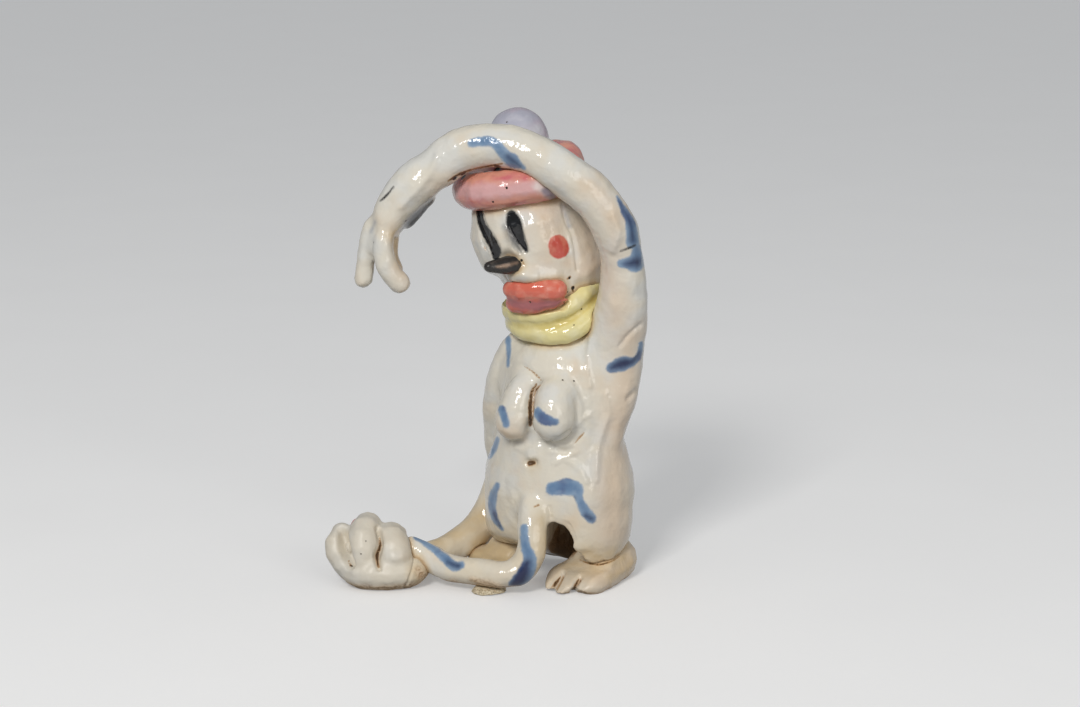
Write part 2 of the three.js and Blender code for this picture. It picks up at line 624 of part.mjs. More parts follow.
piece('coil_tip', 'coil', RED, (grow) => roll([
  [fromFist(0.45, 0.2, 0.44), COIL_RADIUS * 0.8],
  [fromFist(-0.15, 0.45, 0.64), COIL_RADIUS * 0.88],
  [fromFist(-0.76, 0.61, 0.79), COIL_RADIUS * 0.88],
], { grow }));
piece('coil_pad', 'coil', BARE, (grow) => above(0, lump(
  padCentre, [PAD_RADIUS, PAD_RADIUS * 0.85, PAD_HEIGHT], { grow },
)));

// Lowered arm: a roll from the right shoulder, down behind the hip and forward to the hand

piece('lowered_arm', 'lowered_arm', WHITE, (grow) => above(0, roll([
  [onTorso(1.02, -74, -0.6 * LOWERED_ARM_RADIUS), LOWERED_ARM_RADIUS * 0.6],
  [onTorso(0.88, -80, -0.12 * LOWERED_ARM_RADIUS), LOWERED_ARM_RADIUS * 0.85],
  [onTorso(0.74, -84, 0.02 * LOWERED_ARM_RADIUS), LOWERED_ARM_RADIUS * 0.97],
  [onTorso(0.55, -88, 0.22 * LOWERED_ARM_RADIUS), LOWERED_ARM_RADIUS],
  [onTorso(0.3, -100, 0.4 * LOWERED_ARM_RADIUS), LOWERED_ARM_RADIUS],
  [onTorso(0.06, -112, 0.56 * LOWERED_ARM_RADIUS), LOWERED_ARM_RADIUS * 1.05],
  [fromFist(2.14, 2.01, 0.44), LOWERED_ARM_RADIUS * 1.05],
  [fromFist(1.74, 1.59, 0.15), LOWERED_ARM_RADIUS * 0.96],
  [fromFist(1.25, 1.17, 0.03), LOWERED_ARM_RADIUS * 0.84],
  [fromFist(0.61, 0.45, 0.02), LOWERED_ARM_RADIUS * 0.84],
], { side: vector(-0.7, 0.7, 0), sides: FINE_SIDES, grow })));

// Clenched hand: a palm on the floor, three fingers curled up over the coil and a thumb behind it

piece('fist_palm', 'lowered_arm', WHITE, (grow) => above(0, lump(
  fromFist(0, -0.08, 0), [FIST_HALF_LENGTH, FIST_HALF_LENGTH * 0.74, FIST_HALF_HEIGHT],
  { sides: FINE_SIDES, grow },
)));

for (const [name, scale, ...path] of [
  ['fist_middle_finger', 1,
    [-0.27, -0.15, -0.27], [-0.39, -0.33, 0.23], [-0.41, -0.17, 0.71], [-0.36, 0.23, 0.85],
    [-0.33, 0.53, 0.64]],
  ['fist_ring_finger', 1.12,
    [0.27, -0.15, -0.27], [0.29, -0.34, 0.2], [0.21, -0.17, 0.53], [0.14, 0.24, 0.62],
    [0.12, 0.53, 0.45]],
  ['fist_index_finger', 0.78,
    [-0.53, -0.04, -0.24], [-0.92, -0.12, 0.21], [-1, 0.06, 0.61], [-0.77, 0.42, 0.77]],
  ['fist_thumb', 0.78,
    [0.45, 0.61, -0.15], [0.15, 0.87, 0.23], [-0.3, 0.87, 0.53]],
]) {
  piece(name, 'lowered_arm', WHITE, (grow) => above(0, roll(
    path.map((offset) => [fromFist(...offset), FIST_FINGER_RADIUS * scale]),
    { side: vector(1, 0, 0), sides: FINE_SIDES, grow },
  )));
}

// The assembly: each piece gives way to the pieces before it, with room for the slip

const figure = new THREE.Group();
const groups = new Map();
const placed = [];

for (const { name, group, material, blank, carve } of pieces) {
  const cut = placed.reduce((solid, room) => solid.subtract(room), blank(0));
  placed.push(blank(SLIP_JOINT));
  const geometry = toGeometry(carve(largestBody(cut)));
  geometry.computeBoundingBox();
  const centre = geometry.boundingBox.getCenter(new THREE.Vector3());
  const mesh = new THREE.Mesh(
    geometry.translate(-centre.x, -centre.y, -centre.z), new THREE.MeshStandardMaterial(material),
  );
  mesh.name = name;
  mesh.position.copy(centre);
  if (!groups.has(group)) groups.set(group, new THREE.Group());
  groups.get(group).add(mesh);
}
figure.add(...groups.values());

// The origin is on the floor, under the middle of the whole figure
const box = new THREE.Box3().setFromObject(figure, true);
const middle = box.getCenter(new THREE.Vector3());
for (const group of groups.values()) group.position.set(-middle.x, -middle.y, -box.min.z);

export default figure;
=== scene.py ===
"""Looks of a hand-built ceramic figurine: smeared clay skins over the solids, and their glazes."""

import math

import bmesh
import bpy
import numpy as np
from mathutils import Matrix, Vector, noise
from mathutils.bvhtree import BVHTree


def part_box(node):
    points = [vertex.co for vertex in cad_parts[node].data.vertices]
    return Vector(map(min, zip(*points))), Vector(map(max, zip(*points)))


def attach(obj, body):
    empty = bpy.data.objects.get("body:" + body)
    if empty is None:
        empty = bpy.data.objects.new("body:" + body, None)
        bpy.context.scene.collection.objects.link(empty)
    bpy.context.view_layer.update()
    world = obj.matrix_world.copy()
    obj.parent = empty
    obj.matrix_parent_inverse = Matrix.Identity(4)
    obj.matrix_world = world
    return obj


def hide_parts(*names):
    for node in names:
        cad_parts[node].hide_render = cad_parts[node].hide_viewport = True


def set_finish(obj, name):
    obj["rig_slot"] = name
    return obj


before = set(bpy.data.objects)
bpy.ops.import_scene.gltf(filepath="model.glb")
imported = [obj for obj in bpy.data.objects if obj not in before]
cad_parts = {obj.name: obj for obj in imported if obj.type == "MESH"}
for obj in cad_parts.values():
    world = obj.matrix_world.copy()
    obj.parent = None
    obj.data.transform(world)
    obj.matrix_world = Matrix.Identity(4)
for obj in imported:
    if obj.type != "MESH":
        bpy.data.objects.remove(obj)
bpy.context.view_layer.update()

# Sizes in metres
MM = 0.001
WELD = 0.001 * MM  # corners closer than this are one corner
SWELL = 0.4 * MM  # swells the solids until their slip joints close
GLAZE = 0.12 * MM  # what the glaze adds over the clay
FAR = 50 * MM  # stands for nowhere near

# Camera, from the photograph
PHOTO_WIDTH = 1080
PHOTO_HEIGHT = 707
FOCAL_PIXELS = 2450
SENSOR = 36  # millimetres
CAMERA_RISE = math.radians(12)
CAMERA_DISTANCE = 700 * MM
AIM = Vector((15.626, -0.38, 65.6)) * MM  # the place in the middle of the photograph
LOOK = Vector((0, math.cos(CAMERA_RISE), -math.sin(CAMERA_RISE)))
RIGHT = Vector((1, 0, 0))
ABOVE = RIGHT.cross(LOOK)
EYE = AIM - LOOK * CAMERA_DISTANCE


def sight(u, v):
    """The direction from the camera through a pixel of the photograph."""
    across = (u - PHOTO_WIDTH / 2) / FOCAL_PIXELS
    down = (v - PHOTO_HEIGHT / 2) / FOCAL_PIXELS
    return (LOOK + RIGHT * across - ABOVE * down).normalized()


# Camera, lamps and floor

KEY_PLACE = (-0.35, -1.05, 0.82)
KEY_SIZE = 0.32
KEY_WATTS = 9
KEY_COLOUR = (1, 0.98, 0.95)
FILL_PLACE = (0.6, -1, 0.4)
FILL_SIZE = 0.6
FILL_WATTS = 2.8
FILL_COLOUR = (1, 0.97, 0.93)
ROOM_LIGHT = 0.31
ROOM_COLOUR = (0.94, 0.97, 1, 1)
FLOOR_SIZE = 12
FLOOR_GLOW = 0.25  # for the camera only


def add_camera():
    """A camera where the photograph was taken from."""
    data = bpy.data.cameras.new("camera")
    data.sensor_width = SENSOR
    data.lens = SENSOR * FOCAL_PIXELS / PHOTO_WIDTH
    data.clip_start = 0.01
    camera = bpy.data.objects.new("camera", data)
    camera.location = EYE
    camera.rotation_euler = (math.pi / 2 - CAMERA_RISE, 0, 0)
    bpy.context.scene.collection.objects.link(camera)
    bpy.context.scene.camera = camera


def add_lamp(name, place, size, watts, colour):
    """A square lamp that faces the figure."""
    data = bpy.data.lights.new(name, "AREA")
    data.size = size
    data.energy = watts
    data.color = colour
    lamp = bpy.data.objects.new(name, data)
    lamp.location = place
    lamp.rotation_euler = (AIM - Vector(place)).to_track_quat("-Z", "Y").to_euler()
    bpy.context.scene.collection.objects.link(lamp)


def add_room():
    """The even light of the room."""
    world = bpy.data.worlds.new("room")
    world.use_nodes = True
    background = world.node_tree.nodes["Background"]
    background.inputs["Color"].default_value = ROOM_COLOUR
    background.inputs["Strength"].default_value = ROOM_LIGHT
    bpy.context.scene.world = world
    bpy.context.scene.view_settings.view_transform = "Standard"


# Points of a mesh as arrays

def read_points(mesh):
    points = np.empty(len(mesh.vertices) * 3, np.float32)
    mesh.vertices.foreach_get("co", points)
    return points.reshape(-1, 3).astype(float)


def write_points(mesh, points):
    mesh.vertices.foreach_set("co", points.astype(np.float32).ravel())
    mesh.update()


def read_normals(mesh):
    normals = np.empty(len(mesh.vertices) * 3, np.float32)
    mesh.vertex_normals.foreach_get("vector", normals)
    return normals.reshape(-1, 3).astype(float)


def read_edges(mesh):
    edges = np.empty(len(mesh.edges) * 2, np.int32)
    mesh.edges.foreach_get("vertices", edges)
    return edges.reshape(-1, 2)


def write_attribute(mesh, name, values):
    attribute = mesh.attributes.get(name) or mesh.attributes.new(name, "FLOAT", "POINT")
    attribute.data.foreach_set("value", np.asarray(values, np.float32))


def spread(values, edges, passes):
    """Values on the points of a mesh, evened out with their neighbours."""
    first, second = edges.T
    count = len(values)
    degree = np.bincount(edges.ravel(), minlength=count)
    even = values.copy()
    for _ in range(passes):
        for k in range(values.shape[1]):
            column = even[:, k]
            total = np.bincount(first, column[second], count) + np.bincount(second, column[first], count)
            even[:, k] = (column + total / degree) / 2
    return even


def softened(points, edges, passes):
    """Evens out facets and creases, and keeps the girth of the rolls."""
    even = spread(points, edges, passes)
    return even + spread(points - even, edges, passes)


def step(values, low, high):
    """0 at low, 1 at high and smooth between them."""
    part = np.clip((values - low) / (high - low), 0, 1)
    return part * part * (3 - 2 * part)


# Skins: the clay of several solids, smeared into one surface

WEB_HEIGHT = 6 * MM  # the toes are one slab below this
PLUG_RADIUS = 2.6 * MM
BORE = (534.5, 457)  # pixels of the photograph
BORE_RIM = (543, 457)
LUMP_SIZES = ((13 * MM, 0.45 * MM), (5.5 * MM, 0.26 * MM), (2.8 * MM, 0.13 * MM))  # dents: length, depth


def swollen(node):
    """The mesh of a solid, swollen until it meets its neighbours."""
    solid = bmesh.new()
    solid.from_mesh(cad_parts[node].data)
    bmesh.ops.remove_doubles(solid, verts=solid.verts, dist=WELD)
    solid.normal_update()
    for vertex in solid.verts:
        vertex.co += vertex.normal * SWELL
    mesh = bpy.data.meshes.new(node + "_swollen")
    solid.to_mesh(mesh)
    solid.free()
    return mesh


def remeshed(name, mesh, voxel):
    """One closed surface around a mesh, of faces about as long as a voxel."""
    raw = bpy.data.objects.new(name, mesh)
    bpy.context.scene.collection.objects.link(raw)
    remesh = raw.modifiers.new("clay", "REMESH")
    remesh.mode = "VOXEL"
    remesh.voxel_size = voxel
    graph = bpy.context.evaluated_depsgraph_get()
    mesh = bpy.data.meshes.new_from_object(raw.evaluated_get(graph))
    bpy.data.objects.remove(raw)
    return mesh


def lumps(points):
    """How far uneven clay lifts or lowers each point."""
    heights = np.zeros(len(points))
    for size, depth in LUMP_SIZES:
        heights += [depth * noise.noise(Vector(point) / size) for point in points]
    return heights


def add_web(clay):
    """Makes one slab of the toes, by filling the hollows between them near the floor."""
    low = bmesh.new()
    for vertex in clay.verts:
        if vertex.co.z < WEB_HEIGHT:
            low.verts.new(vertex.co)
    bmesh.ops.convex_hull(low, input=low.verts)
    web = bpy.data.meshes.new("web")
    low.to_mesh(web)
    low.free()
    clay.from_mesh(web)


def add_plug(clay):
    """Closes the bore in the belly, beside which the dent lies."""
    rim = BVHTree.FromBMesh(clay).ray_cast(EYE, sight(*BORE_RIM))[0]
    depth = (rim - EYE).length + PLUG_RADIUS
    place = Matrix.Translation(EYE + sight(*BORE) * depth)
    bmesh.ops.create_icosphere(clay, subdivisions=3, radius=PLUG_RADIUS, matrix=place)


def add_skin(name, slot, nodes, voxel, soften, lumpy=1, add_clay=None):
    """A piece that stands for some solids: swollen until they meet, remeshed, softened, drawn back."""
    clay = bmesh.new()
    for node in nodes:
        clay.from_mesh(swollen(node))
    if add_clay:
        add_clay(clay)
    joined = bpy.data.meshes.new(name + "_joined")
    clay.to_mesh(joined)
    clay.free()
    mesh = remeshed(name, joined, voxel)
    mesh.name = name
    edges = read_edges(mesh)
    passes = round((2 * soften / voxel) ** 2)
    write_points(mesh, softened(read_points(mesh), edges, passes))
    points = read_points(mesh)
    height = GLAZE - SWELL + lumpy * lumps(points)
    write_points(mesh, points + read_normals(mesh) * height[:, None])
    mesh.shade_smooth()
    skin = bpy.data.objects.new(name, mesh)
    bpy.context.scene.collection.objects.link(skin)
    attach(skin, "root")
    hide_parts(*nodes)
    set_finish(skin, slot)
    return skin


# Marks: strokes of a tool or a brush that the photograph shows along a route of pixels

ROUTE_STEPS = 4
TOOL_REACH = 1.5 * MM  # a tool presses the way that the clay faces over about this far
SIGHT_SHARE = 0.3  # of a length along the line of sight that counts


def tree_of(skin):
    mesh = skin.data
    return BVHTree.FromPolygons(read_points(mesh).tolist(), [face.vertices for face in mesh.polygons])


def smooth(route):
    """A route with more points, on a smooth curve through its own."""
    ends = np.array([route[0], *route, route[-1]], float)
    part = np.arange(ROUTE_STEPS)[:, None] / ROUTE_STEPS
    stretches = []
    for before, start, end, after in zip(ends, ends[1:], ends[2:], ends[3:]):
        bend = 2 * before - 5 * start + 4 * end - after
        twist = 3 * start - before - 3 * end + after
        stretches.append(start + ((end - before) * part + bend * part ** 2 + twist * part ** 3) / 2)
    return [*np.concatenate(stretches), ends[-1]]


def flattened(points):
    """Points in a space that is short along the line of sight, so that a brush looks round from there."""
    return points - (1 - SIGHT_SHARE) * (points @ np.array(LOOK))[..., None] * np.array(LOOK)


def marked(tree, route):
    """The places on a skin, and the half-widths there, along a route of (u, v, half-width) pixels."""
    marks = []
    for u, v, half in smooth(route):
        place = tree.ray_cast(EYE, sight(u, v))[0]
        if place:
            marks.append((flattened(np.array(place)), half * (place - EYE).length / FOCAL_PIXELS))
    return marks


def marked_behind(tree, route):
    """The same for a route of (turn from the front, height, half-width), in degrees and millimetres."""
    low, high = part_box("torso")
    marks = []
    for turn, height, half in smooth(route):
        out = Vector((math.sin(math.radians(turn)), -math.cos(math.radians(turn)), 0))
        start = Vector(((low[0] + high[0]) / 2, (low[1] + high[1]) / 2, height * MM)) + out * FAR
        place = tree.ray_cast(start, -out)[0]
        if place:
            marks.append((np.array(place), half * MM))
    return marks


def outside(points, strokes):
    """How far points are outside the nearest of some strokes: negative within it."""
    nearest = np.full(len(points), FAR)
    for marks in strokes:
        for (start, thick), (end, thin) in zip(marks, marks[1:] or marks):
            along = end - start
            part = np.clip((points - start) @ along / max(along @ along, WELD ** 2), 0, 1)
            gap = np.linalg.norm(points - start - part[:, None] * along, axis=1)
            nearest = np.minimum(nearest, gap - thick - part * (thin - thick))
    return nearest


def gap_to(skin, routes, behind=()):
    """How far each point of a skin is outside strokes along some routes."""
    tree = tree_of(skin)
    points = read_points(skin.data)
    front = outside(flattened(points), [marked(tree, route) for route in routes])
    back = outside(points, [marked_behind(tree, route) for route in behind])
    return np.minimum(front, back)


def passes_for(mesh, reach):
    """How many passes of spread even a mesh out over a reach."""
    points, edges = read_points(mesh), read_edges(mesh)
    length = np.linalg.norm(points[edges[:, 0]] - points[edges[:, 1]], axis=1).mean()
    return round((2 * reach / length) ** 2)


def press(skin, routes, depth, soft):
    """Presses grooves into a skin along routes, or with a negative depth raises ridges."""
    mesh = skin.data
    push = depth * (1 - step(gap_to(skin, routes), -soft, soft))
    facing = spread(read_normals(mesh), read_edges(mesh), passes_for(mesh, TOOL_REACH))
    facing /= np.linalg.norm(facing, axis=1)[:, None]
    write_points(mesh, read_points(mesh) - facing * push[:, None])


def drag(skin, route, shift, soft):
    """Moves the clay about a route by a shift in millimetres."""
    share = 1 - step(gap_to(skin, (route,)), -soft, soft)
    write_points(skin.data, read_points(skin.data) + share[:, None] * np.array(shift) * MM)


def smear(skin, routes, reach):
    """Rubs the clay smooth along routes."""
    mesh = skin.data
    points = read_points(mesh)
    rubbed = softened(points, read_edges(mesh), passes_for(mesh, reach))
    share = 1 - step(gap_to(skin, routes), -reach, reach)
    write_points(mesh, points + (rubbed - points) * share[:, None])


def fill(skin, routes, reach, rounds):
    """Fills the creases along routes, or all of them, as slip does that is rubbed in."""
    mesh = skin.data
    edges, passes = read_edges(mesh), passes_for(mesh, reach)
    share = 1 - step(gap_to(skin, routes), -reach, reach) if routes else 1
    for _ in range(rounds):
        points, normals = read_points(mesh), read_normals(mesh)
        rise = ((spread(points, edges, passes) - points) * normals).sum(1)
        write_points(mesh, points + normals * (np.maximum(rise, 0) * share)[:, None])


def paint(skin, layer, routes, behind=()):
    """Keeps how far each point is outside the strokes of a layer, in millimetres."""
    write_attribute(skin.data, layer, gap_to(skin, routes, behind) / MM)


# Crevices, with their brown and painted shade, and bare clay

CREVICE_REACH = 1.6 * MM
CONTACT_REACH = 2.5 * MM
WIPED_HEIGHT = 4 * MM  # the glaze is wiped off undersides below this
HOLLOW_HEIGHT = 75 * MM  # the glaze doesn't reach the hollow, which ends below this
HOLLOW_SHARE = 0.93  # of the torso's half-width and half-depth
RAW_EDGE = 1 * MM
FACING_DOWN = (0.35, 0.8)  # how far a face looks down where the wiping starts, and where it is full
FACING_IN = (0.1, 0.5)  # the same for the hollow
BROWN_AND_SHADE_SHARES = {"clenched_hand": 0.25, "body": 0.65}
DRY_SHARES = {"clenched_hand": 1, "near_foot": 0.5, "far_foot": 1}  # where the glaze has less shine


def find_crevices(skins):
    """Keeps how deep brown and painted shade lie in the hollows of a skin, and how near the next skin is,
    in millimetres.
    """
    trees = {skin.name: tree_of(skin) for skin in skins}
    for skin in skins:
        mesh = skin.data
        points, normals, edges = read_points(mesh), read_normals(mesh), read_edges(mesh)
        even = spread(points, edges, passes_for(mesh, CREVICE_REACH))
        deep = ((even - points) * normals).sum(1) / MM
        write_attribute(mesh, "hollow", deep * BROWN_AND_SHADE_SHARES.get(skin.name, 1))
        near = np.full(len(points), CONTACT_REACH)
        for other, tree in trees.items():
            if other != skin.name:
                found = [tree.find_nearest(point, CONTACT_REACH)[3] for point in points]
                near = np.minimum(near, [CONTACT_REACH if gap is None else gap for gap in found])
        write_attribute(mesh, "contact", near / MM)


def find_bare(skin, raw):
    """Keeps where a skin has no glaze: 1 on undersides by the floor, in the hollow and along raw routes."""
    points, normals = read_points(skin.data), read_normals(skin.data)
    under = step(-normals[:, 2], *FACING_DOWN) * (1 - step(points[:, 2], WIPED_HEIGHT / 2, WIPED_HEIGHT))
    low, high = (np.array(corner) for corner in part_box("torso"))
    half = (high - low) / 2
    aside = (points - (low + high) / 2)[:, :2]
    reach = np.linalg.norm(aside / half[:2], axis=1) / HOLLOW_SHARE
    facing = -(aside * normals[:, :2]).sum(1) / np.maximum(np.linalg.norm(aside, axis=1), WELD)
    inside = step(facing, *FACING_IN) * (reach < 1) * (points[:, 2] < HOLLOW_HEIGHT)
    rough = 1 - step(gap_to(skin, raw), -RAW_EDGE, RAW_EDGE)
    write_attribute(skin.data, "bare", np.maximum(np.maximum(under, inside), rough))
    # where the hollow gets its painted shade
    write_attribute(skin.data, "inside", inside)
    write_attribute(skin.data, "dry", np.full(len(points), DRY_SHARES.get(skin.name, 0)))


# The pieces

FINGERS = ("index", "middle", "ring")

body = add_skin("body", "white_glaze", (
    "torso", "left_leg", "right_leg", "left_breast", "right_breast", "lowered_arm", "coil",
    "raised_arm", "raised_palm", "raised_thumb", *(f"raised_{finger}_finger" for finger in FINGERS),
), voxel=0.55 * MM, soften=1.4 * MM, add_clay=add_plug)
fist = add_skin("clenched_hand", "white_glaze", (
    "fist_palm", "fist_thumb", *(f"fist_{finger}_finger" for finger in FINGERS),
), voxel=0.4 * MM, soften=0.8 * MM)
left_foot = add_skin(
    "near_foot", "white_glaze", ("left_foot",), voxel=0.35 * MM, soften=0.8 * MM, add_clay=add_web)
right_foot = add_skin(
    "far_foot", "white_glaze", ("right_foot",), voxel=0.4 * MM, soften=0.8 * MM, add_clay=add_web)
head = add_skin("face", "white_glaze", ("head", "nape", "muzzle"), voxel=0.4 * MM, soften=0.8 * MM)
nose = add_skin("snout", "graphite_glaze", ("nose",), voxel=0.25 * MM, soften=0.5 * MM)
lips = add_skin("mouth", "red_glaze", ("upper_lip", "lower_lip"), voxel=0.3 * MM, soften=0.6 * MM)
scarf = add_skin(
    "scarf", "yellow_glaze", ("scarf_upper_fold", "scarf_lower_fold"), voxel=0.35 * MM, soften=0.7 * MM)
hat = add_skin("hat", "pink_glaze", ("hat_crown", "hat_brim"), voxel=0.4 * MM, soften=1 * MM)
pompom = add_skin("pompom", "lilac_glaze", ("hat_pompom",), voxel=0.4 * MM, soften=1.2 * MM)
coil_end = add_skin("coil_end", "red_glaze", ("coil_tip",), voxel=0.35 * MM, soften=0.6 * MM)
pad = add_skin("pad", "bare_clay", ("coil_pad",), voxel=0.3 * MM, soften=0.5 * MM, lumpy=2)

white_skins = (body, fist, left_foot, right_foot, head)
skins = (*white_skins, nose, lips, scarf, hat, pompom, coil_end, pad)

# Tool marks, as (u, v, half-width) in pixels of the photograph

FILLED = {
    "right_armpit": ((524, 338, 8), (512, 366, 8), (506, 396, 8), (503, 430, 8), (496, 455, 6)),
    "left_armpit": (
        (590, 334, 8), (594, 353, 8), (602, 373, 8), (606, 400, 8), (607, 428, 8), (620, 452, 8)),
    "thumb": ((402, 232, 6), (412, 216, 6), (422, 204, 6), (435, 194, 6)),
    "knuckles": ((366, 232, 4), (371, 245, 3)),
}
SMEARED = {
    "wrist": ((434, 158, 12), (412, 178, 12)),
    "arm_on_flank": ((612, 335, 10), (628, 352, 14), (618, 372, 14)),
    "shoulder": ((560, 345, 10), (585, 340, 10), (603, 325, 8)),
    "breast_tops": ((512, 362, 8), (535, 372, 8), (560, 376, 8)),
    "hips": ((490, 505, 8), (520, 512, 8), (560, 515, 8), (600, 535, 10), (630, 540, 10)),
    "coil_root": ((538, 506, 8), (545, 515, 6)),
}
CLEAVAGE = ((538, 383, 0.8), (533.5, 390, 1.2), (530.5, 404, 1.6), (530.5, 426, 1.4))
NAVEL = ((529.5, 463.4, 3.2), (533.5, 462.6, 3.2))
PLUG = ((533, 457, 5), (537, 457, 5))
NEAR_LEG_END = ((584, 560, 6), (597, 561, 6))
FAR_LEG_END = ((488, 539, 6), (512, 540, 6))
ARCH_EDGE = ((565, 526, 2), (569, 533, 2), (573, 541, 1))
BODY_GROOVES = {
    "fold_by_arm": ((620, 346, 1.2), (629, 335, 1.6), (640, 325, 1.2)),
    "over_breasts": ((511, 365, 0.5), (522, 365, 0.7), (533, 372, 0.8), (541, 380, 0.6)),
    "flank_dent": ((628, 399, 2), (636, 391, 2.5)),
    "flank_crack": ((574, 444, 0.6), (585, 432, 0.6)),
    "belly_dent": ((552, 447, 2), (566, 452, 2)),
    "under_left_breast": ((541, 442, 1), (556, 440, 1.4), (570, 431, 1)),
    "coil_crease": ((549, 507, 1), (551, 518, 1.2)),
}
BODY_RIDGES = {
    "flank_front": ((591, 340, 1.5), (587, 366, 1.8), (590, 386, 1.5)),
    "flank_long": ((605, 394, 2), (609, 411, 2.4), (603, 430, 2.4), (597, 451, 2.2), (596, 480, 1.5)),
    "belly": ((571, 384, 1.4), (580, 405, 1.6), (579, 424, 1.2)),
    "belly_low": ((566, 460, 1.6), (578, 468, 1.8), (586, 482, 1.4)),
    "wrinkle_by_navel": ((516, 447, 0.8), (525, 450, 1), (538, 447, 0.8)),
    "wrinkle_under_breast": ((552, 452, 0.8), (562, 446, 1.1), (573, 444, 0.8)),
    "wrinkle_on_belly": ((555, 463, 0.8), (566, 457, 1.1), (575, 453, 0.8)),
    "wrinkle_on_flank": ((576, 425, 0.8), (583, 418, 1), (589, 415, 0.8)),
    "wrist": ((438, 156, 2), (431, 171, 2.5), (417, 189, 2.5), (401, 206, 2)),
    "arm": ((612, 215, 2), (618, 232, 2.5), (613, 250, 2)),
}
EYES = {
    "near_eye": (
        (511.5, 216, 5.4), (513.5, 222, 7.4), (517, 231, 6.4), (521.5, 241, 4.2), (526.5, 251, 1.8)),
    "far_eye": ((479.4, 211, 3.6), (482, 224, 4.2), (489.5, 238, 5.2), (495.5, 250, 5.4), (496, 257, 3.5)),
}
FACE_CREASE = ((562, 204, 1.2), (566, 221, 1.4), (572.5, 235, 1.4), (575.5, 250, 1.4), (577.5, 270, 1.2))
MUZZLE = {"rim": ((520, 262, 8), (540, 275, 8), (562, 272, 8))}
CHIN = ((490, 279, 4), (496, 287, 5), (501, 297, 3))
CHEEK_HOLLOW = ((494, 279, 3), (499, 287, 4), (503, 296, 3))
HAT_END = ((456, 188, 3), (458, 198, 3))
LIP_CORNER = ((545, 310, 2), (566, 308, 5))
LIP_END = ((561, 306, 3), (567, 305, 4))
LIP_START = ((501, 303, 2), (506, 309, 2.5))
FINGER_END = ((370, 271, 1.5), (370, 281, 1.5))
TOES = ((549, 579, 4), (556, 583, 5), (567, 585, 5))
OUTER_TOE = ((578, 585, 4), (588, 588, 4))
MUZZLE_BULGE = ((521, 274, 4), (538, 277, 5), (556, 276, 4))
FIST_BASE = {
    "front": ((340, 580, 8), (365, 586, 8), (395, 586, 8), (414, 580, 8)),
    "wrist": ((416, 566, 6), (426, 580, 8)),
}
FIST_HOLLOW = ((342, 531, 3), (345, 548, 4.5), (350, 564, 3.5))
FIST_CLEFT = ((377.5, 528, 1), (380.5, 543, 1.6), (377, 557, 2), (379, 569, 1))
FIST_SEAM = ((407, 534, 0.6), (413, 548, 0.8), (414.5, 561, 0.8), (409, 580, 0.8), (404, 588, 0.6))
TOE_GROOVES = {
    "first": ((562.5, 573, 1.4), (557.5, 580.4, 2.8), (551.7, 589, 3.6)),
    "second": ((580, 577.5, 1.2), (576.2, 583.3, 1.8), (573.4, 592, 2)),
}
RAW = {
    "body": (((472, 580, 3), (490, 585, 4), (512, 590, 3)), ((428, 574, 3), (440, 580, 4), (455, 582, 3))),
    "clenched_hand": (((418, 570, 3), (424, 580, 6), (416, 590, 6)),),
}

fill(body, FILLED.values(), reach=2.5 * MM, rounds=8)
smear(body, SMEARED.values(), reach=2.5 * MM)
drag(body, NEAR_LEG_END, shift=(1, 0, 1.6), soft=2.4 * MM)
drag(body, FAR_LEG_END, shift=(0, 0, 1.3), soft=2.4 * MM)
smear(body, (NEAR_LEG_END, FAR_LEG_END), reach=1.8 * MM)
drag(body, ARCH_EDGE, shift=(2, 0, 0.8), soft=1.8 * MM)
drag(body, FINGER_END, shift=(0.6, 0, 0), soft=1 * MM)
press(body, (CLEAVAGE,), depth=2.4 * MM, soft=1.2 * MM)
smear(body, (CLEAVAGE,), reach=0.7 * MM)
smear(body, (PLUG,), reach=1.5 * MM)
press(body, (NAVEL,), depth=1.6 * MM, soft=0.8 * MM)
press(body, BODY_GROOVES.values(), depth=0.7 * MM, soft=0.7 * MM)
press(body, BODY_RIDGES.values(), depth=-0.85 * MM, soft=1.4 * MM)
fill(fist, FIST_BASE.values(), reach=2 * MM, rounds=3)
press(fist, (FIST_HOLLOW,), depth=3 * MM, soft=1.1 * MM)
press(fist, (FIST_CLEFT,), depth=2.8 * MM, soft=0.8 * MM)
press(fist, (FIST_SEAM,), depth=0.7 * MM, soft=0.5 * MM)
drag(head, CHIN, shift=(5, 0, 0), soft=4.5 * MM)
drag(head, CHEEK_HOLLOW, shift=(3.2, 0, 0), soft=3 * MM)
smear(head, MUZZLE.values(), reach=1.6 * MM)
press(head, (MUZZLE_BULGE,), depth=-0.9 * MM, soft=1.8 * MM)
fill(head, EYES.values(), reach=1.2 * MM, rounds=6)
press(head, EYES.values(), depth=0.6 * MM, soft=0.5 * MM)
press(head, (FACE_CREASE,), depth=0.6 * MM, soft=0.6 * MM)
fill(scarf, (), reach=1 * MM, rounds=1)
fill(lips, (), reach=0.7 * MM, rounds=3)
drag(lips, LIP_CORNER, shift=(0, 0, 1.2), soft=2.4 * MM)
drag(lips, LIP_END, shift=(0, 0, 1.2), soft=1.4 * MM)
drag(lips, LIP_START, shift=(0.8, 0, 0.6), soft=1.2 * MM)
fill(left_foot, (), reach=1.2 * MM, rounds=3)
drag(left_foot, TOES, shift=(-2.2, -10, 0), soft=4 * MM)
drag(left_foot, OUTER_TOE, shift=(-2, -3, 0), soft=3 * MM)
press(left_foot, TOE_GROOVES.values(), depth=2 * MM, soft=0.8 * MM)
drag(hat, HAT_END, shift=(-0.7, 0, 0), soft=2 * MM)

find_crevices(skins)
for skin in white_skins:
    find_bare(skin, RAW.get(skin.name, ()))
